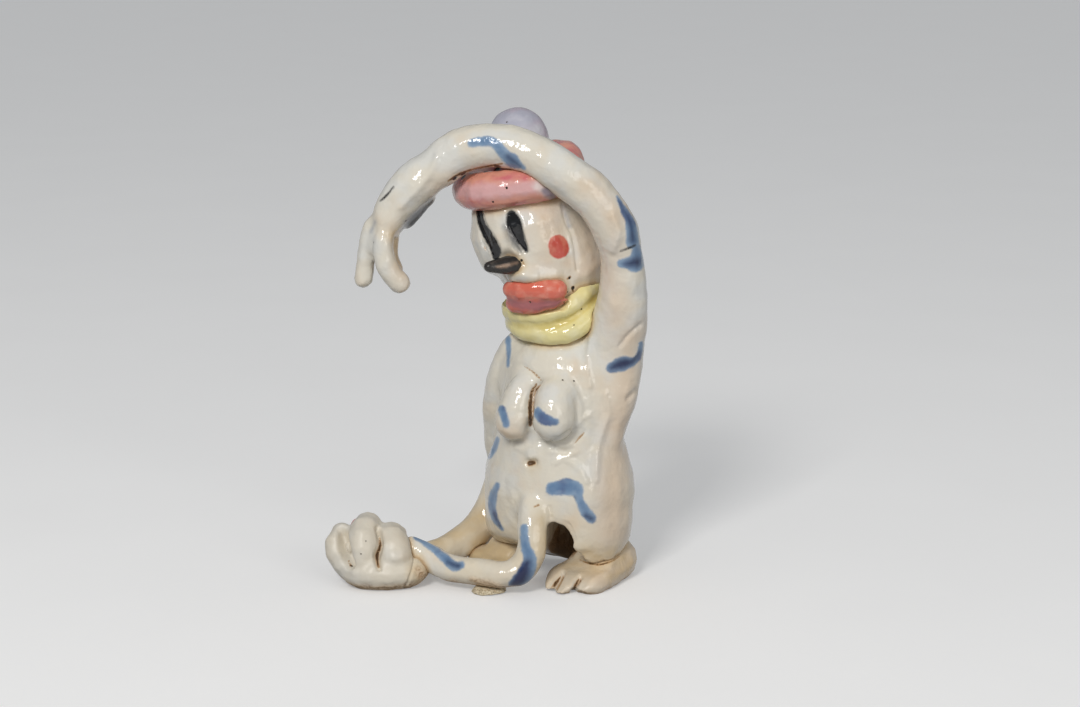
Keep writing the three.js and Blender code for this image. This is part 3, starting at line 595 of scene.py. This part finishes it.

# Paint, with painted shade, shadow, light and reflection among it, as (u, v, half-width) in pixels of the
# photograph

BLUE_DABS = {
    "over_the_hat": (
        (472, 143, 4.5), (488, 141, 5), (497, 145, 5), (505, 155, 6), (513, 161, 6.5), (524, 168, 2)),
    "outer_arm": ((617, 197, 1.5), (623, 208, 3.5), (630, 221, 5.5), (632.5, 232, 7), (633, 242, 7.5)),
    "outer_arm_low": ((637, 248, 5), (637, 262, 9), (630, 263, 7), (622, 263.5, 4.5)),
    "flank": ((641, 344, 3), (639, 356, 3.5), (633, 361, 4.5), (622, 364, 7.5), (611, 368, 5)),
    "shoulder": ((503, 328, 2.6), (508.5, 342, 3), (508, 366, 1.6)),
    "waist": ((497, 440, 3.6), (494, 449, 4), (489, 456, 3.6)),
    "right_breast": ((502, 409, 4), (506, 424, 4)),
    "left_breast": ((537, 412, 5), (544, 419, 6), (555, 422, 4)),
    "belly": (
        (552, 489, 6.5), (566, 487, 8.5), (576, 489, 7), (579, 498, 4), (584, 509, 5.5), (591, 518, 5.5)),
    "thigh": ((497.4, 485, 3), (492, 500, 5), (494, 517, 4.5), (501.7, 529, 2)),
    "coil_front": ((524, 528, 4), (525, 545, 5), (530, 560, 7), (524, 576, 9), (514, 584, 6)),
    "coil_by_fist": ((408, 535, 1.5), (424, 542, 3), (441, 555, 4), (454, 566, 5), (461, 565, 4)),
}
DARK_BLUE = {
    "over_the_hat": ((508, 157, 3), (520, 166, 3)),
    "outer_arm": ((620, 204, 1), (630, 222, 2.5), (633, 240, 4)),
    "outer_arm_low": ((625, 264, 2.5), (637, 262, 6)),
    "flank": ((612, 368, 4), (621, 364, 7), (632, 361, 4.5), (639, 353, 3)),
    "belly": ((574, 498, 1.8), (574, 498.5, 1.8)),
    "belly_tail": ((586, 516, 3.5), (592, 519, 3.5)),
    "thigh": ((494, 514, 3), (500, 526, 3)),
    "coil": ((527, 563, 5), (521, 577, 9), (515, 584, 7)),
    "coil_by_fist": ((448, 562, 3), (458, 566, 4)),
}
DARK_LINES = {
    "wrist": ((380.5, 200.5, 0.9), (387, 195, 1), (393.5, 186.5, 1.1)),
    "elbow": ((620.5, 251.5, 0.6), (628, 248.5, 1.3), (635, 245.5, 1)),
}
# Grey-blue wash; under the wrist it is partly painted shade of the palm's underside
GREY_WASH_AND_SHADE = {
    "wrist": ((442, 190, 5), (432, 205, 5), (415, 218, 6), (404, 229, 4)),
    "knuckle": ((371.5, 231, 0.8), (375, 222, 0.8)),
}
# Painted shadow: the dark underside of the thumb under the wrist
PAINTED_SHADOW_ON_BODY = {"thumb": ((431, 202, 5), (423, 213, 6), (412, 224, 5))}
SMUDGE_ON_FACE = {
    "near_eye": ((507, 228, 3), (513, 239, 4.5), (520, 249, 3)),
    "over_nose": ((502, 254, 1.5), (509, 252.5, 2), (516, 256, 1.5)),
}
FACE_WASH = {"temple": ((563, 206, 1), (566, 216, 1.4), (569, 226, 1))}
# Warm beige, partly the glaze's own warmth: painted shade on the right flank and arm, and a painted warm
# reflection on the inner fingers and under the arm by the hat
WARM_AND_SHADE_ON_BODY = {
    "arm": ((596, 190, 5), (612, 230, 6), (612, 280, 8), (618, 320, 12)),
    "flank": ((628, 340, 14), (625, 400, 18), (615, 470, 18), (615, 530, 20)),
    "fingers": ((395, 236, 4), (399, 257, 4), (402, 275, 6)),
    "by_hat": ((438, 186, 4), (452, 177, 3)),
}
# Beige on the side of the head, partly painted shade, and painted shade on the face by the cheek
WARM_AND_SHADE_ON_FACE = {
    "side": ((584, 205, 10), (590, 240, 14), (594, 272, 14)),
    "over_muzzle": ((533, 267, 1.5), (550, 263, 2), (568, 262, 1.5)),
    "by_cheek": ((552, 208, 8), (553, 222, 11), (549, 262, 10)),
}
# Amber, partly glaze pooled in joints; on the lowered arm, by the hip and at the ankle it is partly painted
# shade, and on the finger a painted warm reflection
AMBER_AND_SHADE_ON_BODY = {
    "lowered_arm": ((480, 515, 10), (455, 530, 10), (435, 540, 10)),
    "hip": ((476, 543, 5), (484, 540, 6)),
    "coil": ((541, 520, 6), (546, 545, 6), (538, 566, 3)),
    "ankle": ((580, 553, 6), (605, 557, 6), (630, 548, 6)),
    "finger": ((394, 237, 4), (397, 250, 4), (399, 262, 3)),
    "navel": ((529.5, 463.4, 4), (533.5, 462.6, 4)),
}
# Warm beige on the heel: painted shade
WARM_AND_SHADE_ON_FOOT = {"side": ((594, 578, 10), (630, 566, 14))}
# Amber glaze on the top of the foot, and painted shade at the ankle and heel
AMBER_AND_SHADE_ON_FOOT = {
    "ankle": ((566, 564, 5), (584, 565, 6), (602, 566, 5), (624, 558, 4)),
    "top": ((568, 568, 4), (586, 571, 4)),
    "heel": ((612, 578, 5), (626, 570, 7), (636, 562, 6)),
}
# Amber over the far foot, partly painted shade
AMBER_AND_SHADE_ON_FAR_FOOT = {"all": ((470, 560, 20), (500, 555, 20))}
AMBER_FIST = {"wrist": ((420, 570, 10), (425, 585, 10))}
# Brown in cracks and crevices; in the cleavage it is mostly painted shade
SOIL_AND_SHADE_ON_BODY = {
    "navel": ((529.5, 463.4, 2.8), (533.5, 462.8, 2.6)),
    "cleavage": ((537, 384, 1), (532.5, 391, 1.4), (530.3, 404, 2.2), (530.5, 425, 2)),
    "over_breasts": ((524, 366, 0.4), (533, 372, 0.7), (541, 380, 0.6)),
    "under_arm": ((448, 181, 0.8), (460, 174, 1.2), (474, 169, 1), (502, 163.5, 0.8)),
    "crack": ((574, 444, 0.3), (580, 437, 0.6), (585, 432, 0.3)),
    "coil_root": ((534, 507, 0.6), (539, 505, 0.8)),
}
SOIL_ON_FACE = {
    "nose_root": ((523, 262, 1), (524, 265, 1)),
    "mouth_corner": ((567.5, 279, 1), (570, 277, 1.2)),
    "by_scarf": ((572, 287, 1), (573, 291, 1.3)),
}
# Brown at the ankle and in the toe grooves, partly painted shade
SOIL_AND_SHADE_ON_FOOT = {
    "ankle": ((580, 560, 0.4), (590, 563.5, 0.8), (600, 564.5, 1), (612, 561, 0.8), (620, 556, 0.4)),
    "first_groove": ((560.5, 577, 0.8), (556, 583, 1.6), (552.5, 588, 1.6)),
    "second_groove": ((578.5, 580, 0.8), (575.5, 585, 1.6), (573.8, 590, 1.6)),
}
# Brown in the fist's cleft and hollow, partly painted shade
SOIL_AND_SHADE_ON_FIST = {
    "cleft": ((379.5, 538, 1), (380, 546, 1.6), (377, 556, 2), (378.5, 567, 1.2)),
    "hollow": ((349, 561, 1), (351, 566, 1)),
}
CHEEK = ((558.3, 245.4, 10.4), (558.8, 248.2, 10.4))

# Dabs on the side that the photograph doesn't show, as (turn from the front, height, half-width)
BACK_DABS = {
    "shoulder": ((150, 78, 1.2), (162, 74, 1.8), (168, 67, 1.5)),
    "middle": ((205, 62, 1.5), (196, 56, 2.2), (199, 49, 1.8)),
    "hip": ((158, 38, 1.4), (150, 32, 2.0), (154, 25, 1.2)),
    "leg": ((195, 24, 1.6), (188, 18, 1.9), (192, 12, 1.2)),
    "side": ((240, 52, 1.2), (234, 45, 1.7), (236, 38, 1.0)),
}
LAYERS = ("blue", "ink", "wash_and_shade", "smudge_and_shadow", "warm_and_shade", "amber_and_shade", "soil_and_shade", "black", "blush")
STROKES = {
    "body": {
        "blue": BLUE_DABS, "ink": DARK_BLUE, "wash_and_shade": GREY_WASH_AND_SHADE, "warm_and_shade": WARM_AND_SHADE_ON_BODY, "amber_and_shade": AMBER_AND_SHADE_ON_BODY,
        "soil_and_shade": SOIL_AND_SHADE_ON_BODY, "smudge_and_shadow": PAINTED_SHADOW_ON_BODY, "black": DARK_LINES},
    "face": {
        "wash_and_shade": FACE_WASH, "smudge_and_shadow": SMUDGE_ON_FACE, "warm_and_shade": WARM_AND_SHADE_ON_FACE, "soil_and_shade": SOIL_ON_FACE, "black": EYES,
        "blush": {"cheek": CHEEK}},
    "near_foot": {"amber_and_shade": AMBER_AND_SHADE_ON_FOOT, "warm_and_shade": WARM_AND_SHADE_ON_FOOT, "soil_and_shade": SOIL_AND_SHADE_ON_FOOT},
    "far_foot": {"amber_and_shade": AMBER_AND_SHADE_ON_FAR_FOOT},
    "clenched_hand": {"amber_and_shade": AMBER_FIST, "soil_and_shade": SOIL_AND_SHADE_ON_FIST},
}
for skin in white_skins:
    for layer in LAYERS:
        behind = BACK_DABS.values() if (skin.name, layer) == ("body", "blue") else ()
        paint(skin, layer, STROKES.get(skin.name, {}).get(layer, {}).values(), behind)

# Pale pink along the front of the brim; at the left end it is painted light over the arm's shadow
HAT_PALE_AND_LIT = {"front": ((450, 191, 7), (480, 191, 8), (500, 190, 8), (520, 189, 7), (540, 186, 6))}
HAT_FADE = {"end": ((538, 186, 5), (550, 190, 7))}
HAT_SMEAR = {"end": ((546, 191, 4), (553, 198, 3.5))}
# Purple on the lower lip, partly painted shade under the roll of the mouth
LOWER_LIP_AND_SHADE = {"roll": ((506, 301, 5), (530, 306, 6), (558, 303, 5))}
# Painted highlight: a light brown streak along the front of the nose
NOSE_HIGHLIGHT = {"front": ((497, 267, 1.2), (506, 265.5, 1.7), (517, 262.5, 1.3))}
paint(hat, "pale", HAT_PALE_AND_LIT.values())
paint(hat, "fade", HAT_FADE.values())
paint(hat, "smear", HAT_SMEAR.values())
paint(lips, "lower_and_shade", LOWER_LIP_AND_SHADE.values())
paint(nose, "highlight_streak", NOSE_HIGHLIGHT.values())

# Materials

# Pinholes, and larger gaps where the arm lies on the hat, painted near black: the shade inside them
PINHOLES = {
    "body": (
        (562.7, 380, 0.35), (574, 381, 0.3), (405.8, 220.8, 0.35), (373.6, 242.4, 0.35),
        (454.6, 178.5, 1), (463.3, 174, 1.1), (486, 168.5, 0.9), (497.3, 166.5, 1.4)),
    "clenched_hand": ((352, 566, 0.4), (361, 554, 0.25), (366, 541, 0.2)),
    "face": ((498, 262, 0.3), (521.5, 260.5, 0.5), (569.5, 278, 0.5), (573, 288, 0.8), (567.5, 292, 0.3)),
    "hat": (
        (506.7, 188, 0.45), (493, 202, 0.4), (454.6, 181, 1.2), (463.3, 177, 1.2), (486, 171.5, 1),
        (497.3, 169.5, 1.4)),
    "pompom": ((506.8, 122, 0.3),),
    "scarf": ((581.5, 309, 0.35), (574, 325, 0.25)),
    "mouth": ((530, 302, 0.35), (564, 302, 0.35)),
}  # pixel, and radius in millimetres


def linear(code):
    """The linear colour that a written sRGB colour such as "e4ddd0" stands for."""
    shares = [int(code[k:k + 2], 16) / 255 for k in (0, 2, 4)]
    return (*(s / 12.92 if s < 0.04045 else ((s + 0.055) / 1.055) ** 2.4 for s in shares), 1)


class Graph:
    """The nodes of one material, put together with short calls. Lengths are in millimetres."""

    def __init__(self, name):
        self.material = bpy.data.materials.new(name)
        self.material.use_nodes = True
        self.tree = self.material.node_tree
        self.shader = self.tree.nodes["Principled BSDF"]
        self.place = self.add("ShaderNodeTexCoord").outputs["Object"]

    def add(self, kind, **settings):
        node = self.tree.nodes.new(kind)
        for key, value in settings.items():
            setattr(node, key, value)
        return node

    def put(self, socket, value):
        if isinstance(value, bpy.types.NodeSocket):
            self.tree.links.new(value, socket)
        else:
            socket.default_value = value

    def noise(self, size, detail=2):
        node = self.add("ShaderNodeTexNoise")
        self.put(node.inputs["Vector"], self.place)
        node.inputs["Scale"].default_value = 1 / (size * MM)
        node.inputs["Detail"].default_value = detail
        return node.outputs["Fac"]

    def attribute(self, name):
        return self.add("ShaderNodeAttribute", attribute_name=name).outputs["Fac"]

    def math(self, operation, *values):
        node = self.add("ShaderNodeMath", operation=operation)
        for socket, value in zip(node.inputs, values):
            self.put(socket, value)
        return node.outputs[0]

    def total(self, *shares):
        """The sum of (value, weight) pairs."""
        result = 0.0
        for value, weight in shares:
            result = self.math("MULTIPLY_ADD", value, weight, result)
        return result

    def between(self, value, low, high, least=0.0, most=1.0):
        node = self.add("ShaderNodeMapRange", interpolation_type="SMOOTHSTEP")
        for socket, amount in zip(node.inputs, (value, low, high, least, most)):
            self.put(socket, amount)
        return node.outputs[0]

    def mix(self, share, first, second):
        node = self.add("ShaderNodeMix", data_type="RGBA")
        self.put(node.inputs["Factor"], share)
        colours = [socket for socket in node.inputs if socket.type == "RGBA"]
        self.put(colours[0], first)
        self.put(colours[1], second)
        return next(socket for socket in node.outputs if socket.type == "RGBA")

    def stroke(self, layer, wobble, soft):
        """1 within the strokes of a layer, with an uneven edge."""
        uneven = self.total((self.noise(2.4), 2 * wobble), (self.noise(0.7), wobble))
        ragged = self.math("ADD", uneven, self.attribute(layer))
        return self.between(ragged, 1.5 * wobble + soft, 1.5 * wobble - soft)

    def pinholes(self, spots):
        """1 within the pinholes at some spots, each with its radius."""
        deepest = 0.0
        for spot, radius in spots:
            node = self.add("ShaderNodeVectorMath", operation="DISTANCE")
            self.put(node.inputs[0], self.place)
            node.inputs[1].default_value = spot
            hole = self.between(node.outputs["Value"], radius * MM, radius * MM / 3)
            deepest = self.math("MAXIMUM", hole, deepest)
        return deepest

    def finish(self, colour, roughness, height, strength=1.0):
        bump = self.add("ShaderNodeBump")
        bump.inputs["Strength"].default_value = strength
        bump.inputs["Distance"].default_value = MM
        self.put(bump.inputs["Height"], height)
        self.put(self.shader.inputs["Normal"], bump.outputs["Normal"])
        self.put(self.shader.inputs["Base Color"], colour)
        self.put(self.shader.inputs["Roughness"], roughness)
        return self.material


def spots_on(*chosen):
    """The places of the pinholes on some skins, with their radii."""
    spots = []
    for skin in chosen:
        tree = tree_of(skin)
        for u, v, radius in PINHOLES[skin.name]:
            place = tree.ray_cast(EYE, sight(u, v))[0]
            if place:
                spots.append((place, radius))
    return spots


CREAM = linear("e5dfd1")
COOL = linear("e1e0da")
PEACH = linear("e2d0b8")
BEIGE = linear("e0c9af")
AMBER = linear("d2b684")
# Brown and dark brown in crevices and where pieces meet: partly stain, partly painted shade
STAIN_AND_SHADE = linear("ae8450")
DARK_STAIN_AND_SHADE = linear("533819")
DULL = linear("d3c9b7")
TAN = linear("e0cdab")
BARE = linear("dcc6a9")
BARE_DARK = linear("b99b7a")
HOLE_SHADE = linear("1c140e")
# Painted shade: the bare clay of the hollow, darker than the bare clay outside
HOLLOW_SHADE = linear("9c7d5a")
BLUE = linear("5b80a8")
PALE_BLUE = linear("8aa5c2")
DEEP_BLUE = linear("47618f")
INK = linear("1f2950")
WASH_AND_SHADE_COLOUR = linear("8f97a6")
SMUDGE_AND_SHADOW = linear("4b4e53")
BLACK = linear("0b0c0e")
BLACK_WORN = linear("1d2024")
BLUSH = linear("c9574a")
BLUSH_PALE = linear("d67a66")
TAN_HEIGHTS = (40, 8)  # millimetres: the glaze turns tan from the first down to the second,
TAN_ACROSS = (-25, 0)  # and from the hand across to the body


def glaze_height(graph, holes):
    """Ripples of the glaze, with its pinholes."""
    ripples = graph.total((graph.noise(4), 0.3), (graph.noise(1.7), 0.14), (graph.noise(0.6), 0.01))
    return graph.total((ripples, 1), (holes, -0.4))


MOST_AT_CONTACT = 0.35  # of the brown and painted shade, where pieces meet


def stained_and_shaded(graph, colour, extra, holes, amount):
    """Colour with brown in crevices and where pieces meet, partly thin glaze and partly painted shade, and
    that share.
    """
    uneven = graph.noise(1.8, 3)
    hollow = graph.total((graph.attribute("hollow"), 1), (uneven, 0.5))
    crevice = graph.between(hollow, 0.6, 1.3, 0, amount)
    gap = graph.total((graph.attribute("contact"), 1), (uneven, 1.2))
    contact = graph.math("MINIMUM", graph.between(gap, 1.6, 0.6, 0, amount), MOST_AT_CONTACT)
    spots = graph.math("MAXIMUM", extra, holes)
    stain_and_shade = graph.math("MAXIMUM", graph.math("MAXIMUM", crevice, contact), spots)
    colour = graph.mix(graph.between(stain_and_shade, 0, 0.8, 0, 0.8), colour, STAIN_AND_SHADE)
    # Dark brown where the brown is strongest: partly stain, partly painted shade in the deepest creases
    deep = graph.between(graph.total((stain_and_shade, 1), (uneven, 0.5)), 0.95, 1.2, 0, 0.95)
    colour = graph.mix(deep, colour, DARK_STAIN_AND_SHADE)
    # Near black in the pinholes and gaps: painted shade
    return graph.mix(graph.between(holes, 0.2, 0.8), colour, HOLE_SHADE), stain_and_shade


def across(graph, value, lengths):
    """0 to 1 from the first to the second of two lengths in millimetres."""
    start, end = lengths
    return graph.between(value, start * MM, end * MM)


def white_ground(graph, dry):
    """The glaze before it is painted: cream, and tan low down on the body."""
    thin = graph.between(graph.total((graph.noise(14, 3), 1), (graph.attribute("hollow"), -0.15)), 0.5, 0.8)
    colour = graph.mix(graph.between(graph.noise(9, 2), 0.42, 0.66), CREAM, COOL)
    colour = graph.mix(thin, colour, PEACH)
    colour = graph.mix(graph.math("MULTIPLY", dry, 0.45), colour, DULL)
    place = graph.add("ShaderNodeSeparateXYZ")
    graph.put(place.inputs[0], graph.place)
    low = graph.math("MULTIPLY", across(graph, place.outputs["Z"], TAN_HEIGHTS), 0.45)
    low = graph.math("MULTIPLY", low, across(graph, place.outputs["X"], TAN_ACROSS))
    low = graph.math("MULTIPLY", low, graph.math("SUBTRACT", 1, dry))
    return graph.mix(low, colour, TAN)


def washed(graph, colour):
    """Colour with the warm, amber and grey washes over it, partly painted shade, shadow and warm
    reflection.
    """
    # Warm beige, partly painted shade and warm reflection
    warm_and_shade = graph.between(graph.total((graph.attribute("warm_and_shade"), 1), (graph.noise(8, 3), 6)), 8, -3)
    colour = graph.mix(graph.math("MULTIPLY", warm_and_shade, 0.75), colour, BEIGE)
    # Amber along strokes and where pieces meet: partly pooled glaze, partly painted shade and warm
    # reflection
    amber_and_shade = graph.between(graph.total((graph.attribute("amber_and_shade"), 1), (graph.noise(5, 3), 5)), 6, -2)
    amber_and_shade = graph.math("MAXIMUM", amber_and_shade, graph.between(graph.attribute("contact"), 2.5, 0.3, 0, 0.7))
    colour = graph.mix(graph.math("MULTIPLY", amber_and_shade, 0.8), colour, AMBER)
    # Grey wash, under the wrist partly painted shade
    colour = graph.mix(graph.math("MULTIPLY", graph.stroke("wash_and_shade", 0.5, 1.1), 0.7), colour, WASH_AND_SHADE_COLOUR)
    # Grey smudges on the face, and a painted shadow under the thumb
    return graph.mix(graph.math("MULTIPLY", graph.stroke("smudge_and_shadow", 0.4, 1.4), 0.85), colour, SMUDGE_AND_SHADOW)


def dabbed(graph, colour):
    """Colour with the blue dabs over it, darker where the brush was full, and their share."""
    blue = graph.stroke("blue", 0.4, 0.4)
    thick = graph.total((graph.attribute("blue"), -0.5), (graph.noise(4.5, 3), 1.6))
    shade = graph.mix(graph.between(thick, 0.6, 1.7), PALE_BLUE, BLUE)
    shade = graph.mix(graph.between(graph.noise(6, 2), 0.5, 0.75), shade, DEEP_BLUE)
    ink = graph.between(graph.total((graph.attribute("ink"), 1), (graph.noise(2.4), 0.8)), 1.3, -1.5)
    cover = graph.between(ink, 0, 1, 0.94, 1)
    return graph.mix(graph.math("MULTIPLY", blue, cover), colour, graph.mix(ink, shade, INK)), blue


def white_glaze():
    graph = Graph("white_glaze")
    dry = graph.attribute("dry")
    colour, blue = dabbed(graph, washed(graph, white_ground(graph, dry)))
    holes = graph.pinholes(spots_on(body, fist, head))
    # Brown and painted shade in crevices, along the soil strokes and where pieces meet
    colour, stain_and_shade = stained_and_shaded(graph, colour, graph.stroke("soil_and_shade", 0.25, 0.3), holes, 0.8)
    blush = graph.stroke("blush", 0.3, 0.3)
    colour = graph.mix(blush, colour, graph.mix(graph.between(graph.noise(3), 0.4, 0.7), BLUSH, BLUSH_PALE))
    black = graph.stroke("black", 0.35, 0.35)
    worn = graph.between(graph.noise(2.6, 3), 0.5, 0.7)
    colour = graph.mix(black, colour, graph.mix(worn, BLACK, BLACK_WORN))
    bare = graph.attribute("bare")
    grain = graph.noise(0.9, 4)
    colour = graph.mix(bare, colour, graph.mix(graph.between(grain, 0.35, 0.6), BARE_DARK, BARE))
    # Painted shade inside the hollow
    colour = graph.mix(graph.attribute("inside"), colour, HOLLOW_SHADE)
    dull = graph.total((stain_and_shade, 0.2), (bare, 0.6), (dry, 0.32))
    roughness = graph.total((graph.noise(6), 0.12), (dull, 1), (0.04, 1))
    pits = graph.math("MULTIPLY", graph.between(grain, 0.3, 0.5), bare)
    painted = graph.math("MAXIMUM", blue, blush)
    height = graph.total((glaze_height(graph, holes), 1), (painted, 0.04), (pits, 0.14))
    return graph.finish(colour, roughness, height)


SALMON = linear("de9a86")
ROSE = linear("cd6b73")
PALE_PINK = linear("dfb0b1")
PINK_FADE = linear("e6d9d6")
PURPLE_SMEAR = linear("877c90")


def pink_glaze():
    graph = Graph("pink_glaze")
    pale = graph.between(graph.total((graph.attribute("pale"), 1), (graph.noise(3.2, 4), 3)), 2.8, 0.2)
    colour = graph.mix(graph.between(graph.noise(7, 3), 0.42, 0.66), SALMON, ROSE)
    # Pale pink along the front, with painted light at the left end
    colour = graph.mix(graph.math("MULTIPLY", pale, 0.9), colour, PALE_PINK)
    colour = graph.mix(graph.math("MULTIPLY", graph.stroke("fade", 0.8, 1.2), 0.85), colour, PINK_FADE)
    colour = graph.mix(graph.math("MULTIPLY", graph.stroke("smear", 0.5, 0.8), 0.8), colour, PURPLE_SMEAR)
    holes = graph.pinholes(spots_on(hat))
    colour, stain_and_shade = stained_and_shaded(graph, colour, 0, holes, 0.4)
    roughness = graph.total((graph.noise(5), 0.12), (stain_and_shade, 0.25), (0.05, 1))
    return graph.finish(colour, roughness, glaze_height(graph, holes))


LILAC = linear("b3b3c2")
LILAC_PINK = linear("b9adbb")
LILAC_PALE = linear("cfced6")


def lilac_glaze():
    graph = Graph("lilac_glaze")
    colour = graph.mix(graph.between(graph.noise(9, 2), 0.4, 0.65), LILAC, LILAC_PINK)
    colour = graph.mix(graph.between(graph.noise(7, 3), 0.5, 0.8), colour, LILAC_PALE)
    holes = graph.pinholes(spots_on(pompom))
    colour, stain_and_shade = stained_and_shaded(graph, colour, 0, holes, 0.5)
    roughness = graph.total((graph.noise(5), 0.12), (stain_and_shade, 0.25), (0.06, 1))
    return graph.finish(colour, roughness, glaze_height(graph, holes))


LIP_RED = linear("dc705c")
LIP_PURPLE = linear("96606a")
LIP_PALE = linear("e39480")


def red_glaze():
    graph = Graph("red_glaze")
    colour = graph.mix(graph.between(graph.noise(3.5, 3), 0.45, 0.72), LIP_RED, LIP_PALE)
    # Purple on the lower lip, partly painted shade
    lower_and_shade = graph.between(graph.total((graph.attribute("lower_and_shade"), 1), (graph.noise(2.5), 1.5)), 1.4, -0.4)
    colour = graph.mix(graph.math("MULTIPLY", lower_and_shade, 0.75), colour, LIP_PURPLE)
    holes = graph.pinholes(spots_on(lips))
    colour, stain_and_shade = stained_and_shaded(graph, colour, 0, holes, 0.15)
    roughness = graph.total((graph.noise(5), 0.12), (stain_and_shade, 0.25), (0.05, 1))
    return graph.finish(colour, roughness, glaze_height(graph, holes))


YELLOW = linear("e8dd9f")
YELLOW_DEEP = linear("dccb80")
YELLOW_PALE = linear("ebe4b8")


def yellow_glaze():
    graph = Graph("yellow_glaze")
    pooled = graph.total((graph.attribute("hollow"), 1), (graph.noise(3, 3), 0.5))
    colour = graph.mix(graph.between(pooled, 0.2, 0.5), YELLOW, YELLOW_DEEP)
    colour = graph.mix(graph.between(graph.noise(6, 3), 0.5, 0.8), colour, YELLOW_PALE)
    holes = graph.pinholes(spots_on(scarf))
    colour, stain_and_shade = stained_and_shaded(graph, colour, 0, holes, 0.12)
    roughness = graph.total((graph.noise(5), 0.12), (stain_and_shade, 0.25), (0.05, 1))
    return graph.finish(colour, roughness, glaze_height(graph, holes))


GRAPHITE = linear("302e2d")
GRAPHITE_WORN = linear("57514c")
STREAK_HIGHLIGHT = linear("86705f")


def graphite_glaze():
    graph = Graph("graphite_glaze")
    colour = graph.mix(graph.between(graph.noise(2.6, 3), 0.5, 0.75), GRAPHITE, GRAPHITE_WORN)
    # Painted highlight along the nose
    colour = graph.mix(graph.stroke("highlight_streak", 0.4, 0.5), colour, STREAK_HIGHLIGHT)
    graph.shader.inputs["Metallic"].default_value = 0.25
    roughness = graph.total((graph.noise(2), 0.2), (0.2, 1))
    height = graph.total((graph.noise(1.6, 3), 0.1), (graph.noise(0.4), 0.01))
    return graph.finish(colour, roughness, height)


PAD = linear("dfd2b6")
PAD_DARK = linear("c4b08a")


def bare_clay():
    graph = Graph("bare_clay")
    grain = graph.noise(0.6, 4)
    colour = graph.mix(graph.between(grain, 0.3, 0.55), PAD_DARK, PAD)
    colour = graph.mix(graph.between(graph.noise(3, 3), 0.6, 0.8, 0, 0.5), colour, STAIN_AND_SHADE)
    roughness = graph.total((grain, 0.2), (0.7, 1))
    grit = graph.total((graph.between(grain, 0.3, 0.6), 0.25), (grain, 0.15))
    return graph.finish(colour, roughness, grit)


MATERIALS = {
    "white_glaze": white_glaze(), "pink_glaze": pink_glaze(), "lilac_glaze": lilac_glaze(),
    "red_glaze": red_glaze(), "yellow_glaze": yellow_glaze(), "graphite_glaze": graphite_glaze(),
    "bare_clay": bare_clay(),
}
for skin in skins:
    skin.data.materials.append(MATERIALS[skin["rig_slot"]])

# Stage

add_camera()
add_room()
add_lamp("key", KEY_PLACE, KEY_SIZE, KEY_WATTS, KEY_COLOUR)
add_lamp("fill", FILL_PLACE, FILL_SIZE, FILL_WATTS, FILL_COLOUR)


FLOOR_PALE = linear("e4e4e4")
FLOOR_PALER = linear("e9e9e9")
FLOOR_DARK = linear("8c8c8c")  # for the light that it throws back
FLOOR_SHINE = linear("f2f2f2")


def add_floor():
    """A pale floor that throws little light back up at the figure."""
    bpy.ops.mesh.primitive_plane_add(size=FLOOR_SIZE)
    floor = bpy.context.object
    floor.name = "floor"
    graph = Graph("floor")
    grain = graph.noise(60, 3)
    pale = graph.mix(grain, FLOOR_PALE, FLOOR_PALER)
    ray = graph.add("ShaderNodeLightPath").outputs
    seen = graph.math("MAXIMUM", ray["Is Camera Ray"], ray["Is Glossy Ray"])
    seen = graph.math("MAXIMUM", seen, ray["Is Transmission Ray"])
    colour = graph.mix(seen, FLOOR_DARK, pale)
    graph.shader.inputs["Emission Color"].default_value = FLOOR_SHINE
    graph.put(graph.shader.inputs["Emission Strength"], graph.math("MULTIPLY", seen, FLOOR_GLOW))
    floor.data.materials.append(graph.finish(colour, graph.total((grain, 0.1), (0.85, 1)), grain, 0.0))


add_floor()
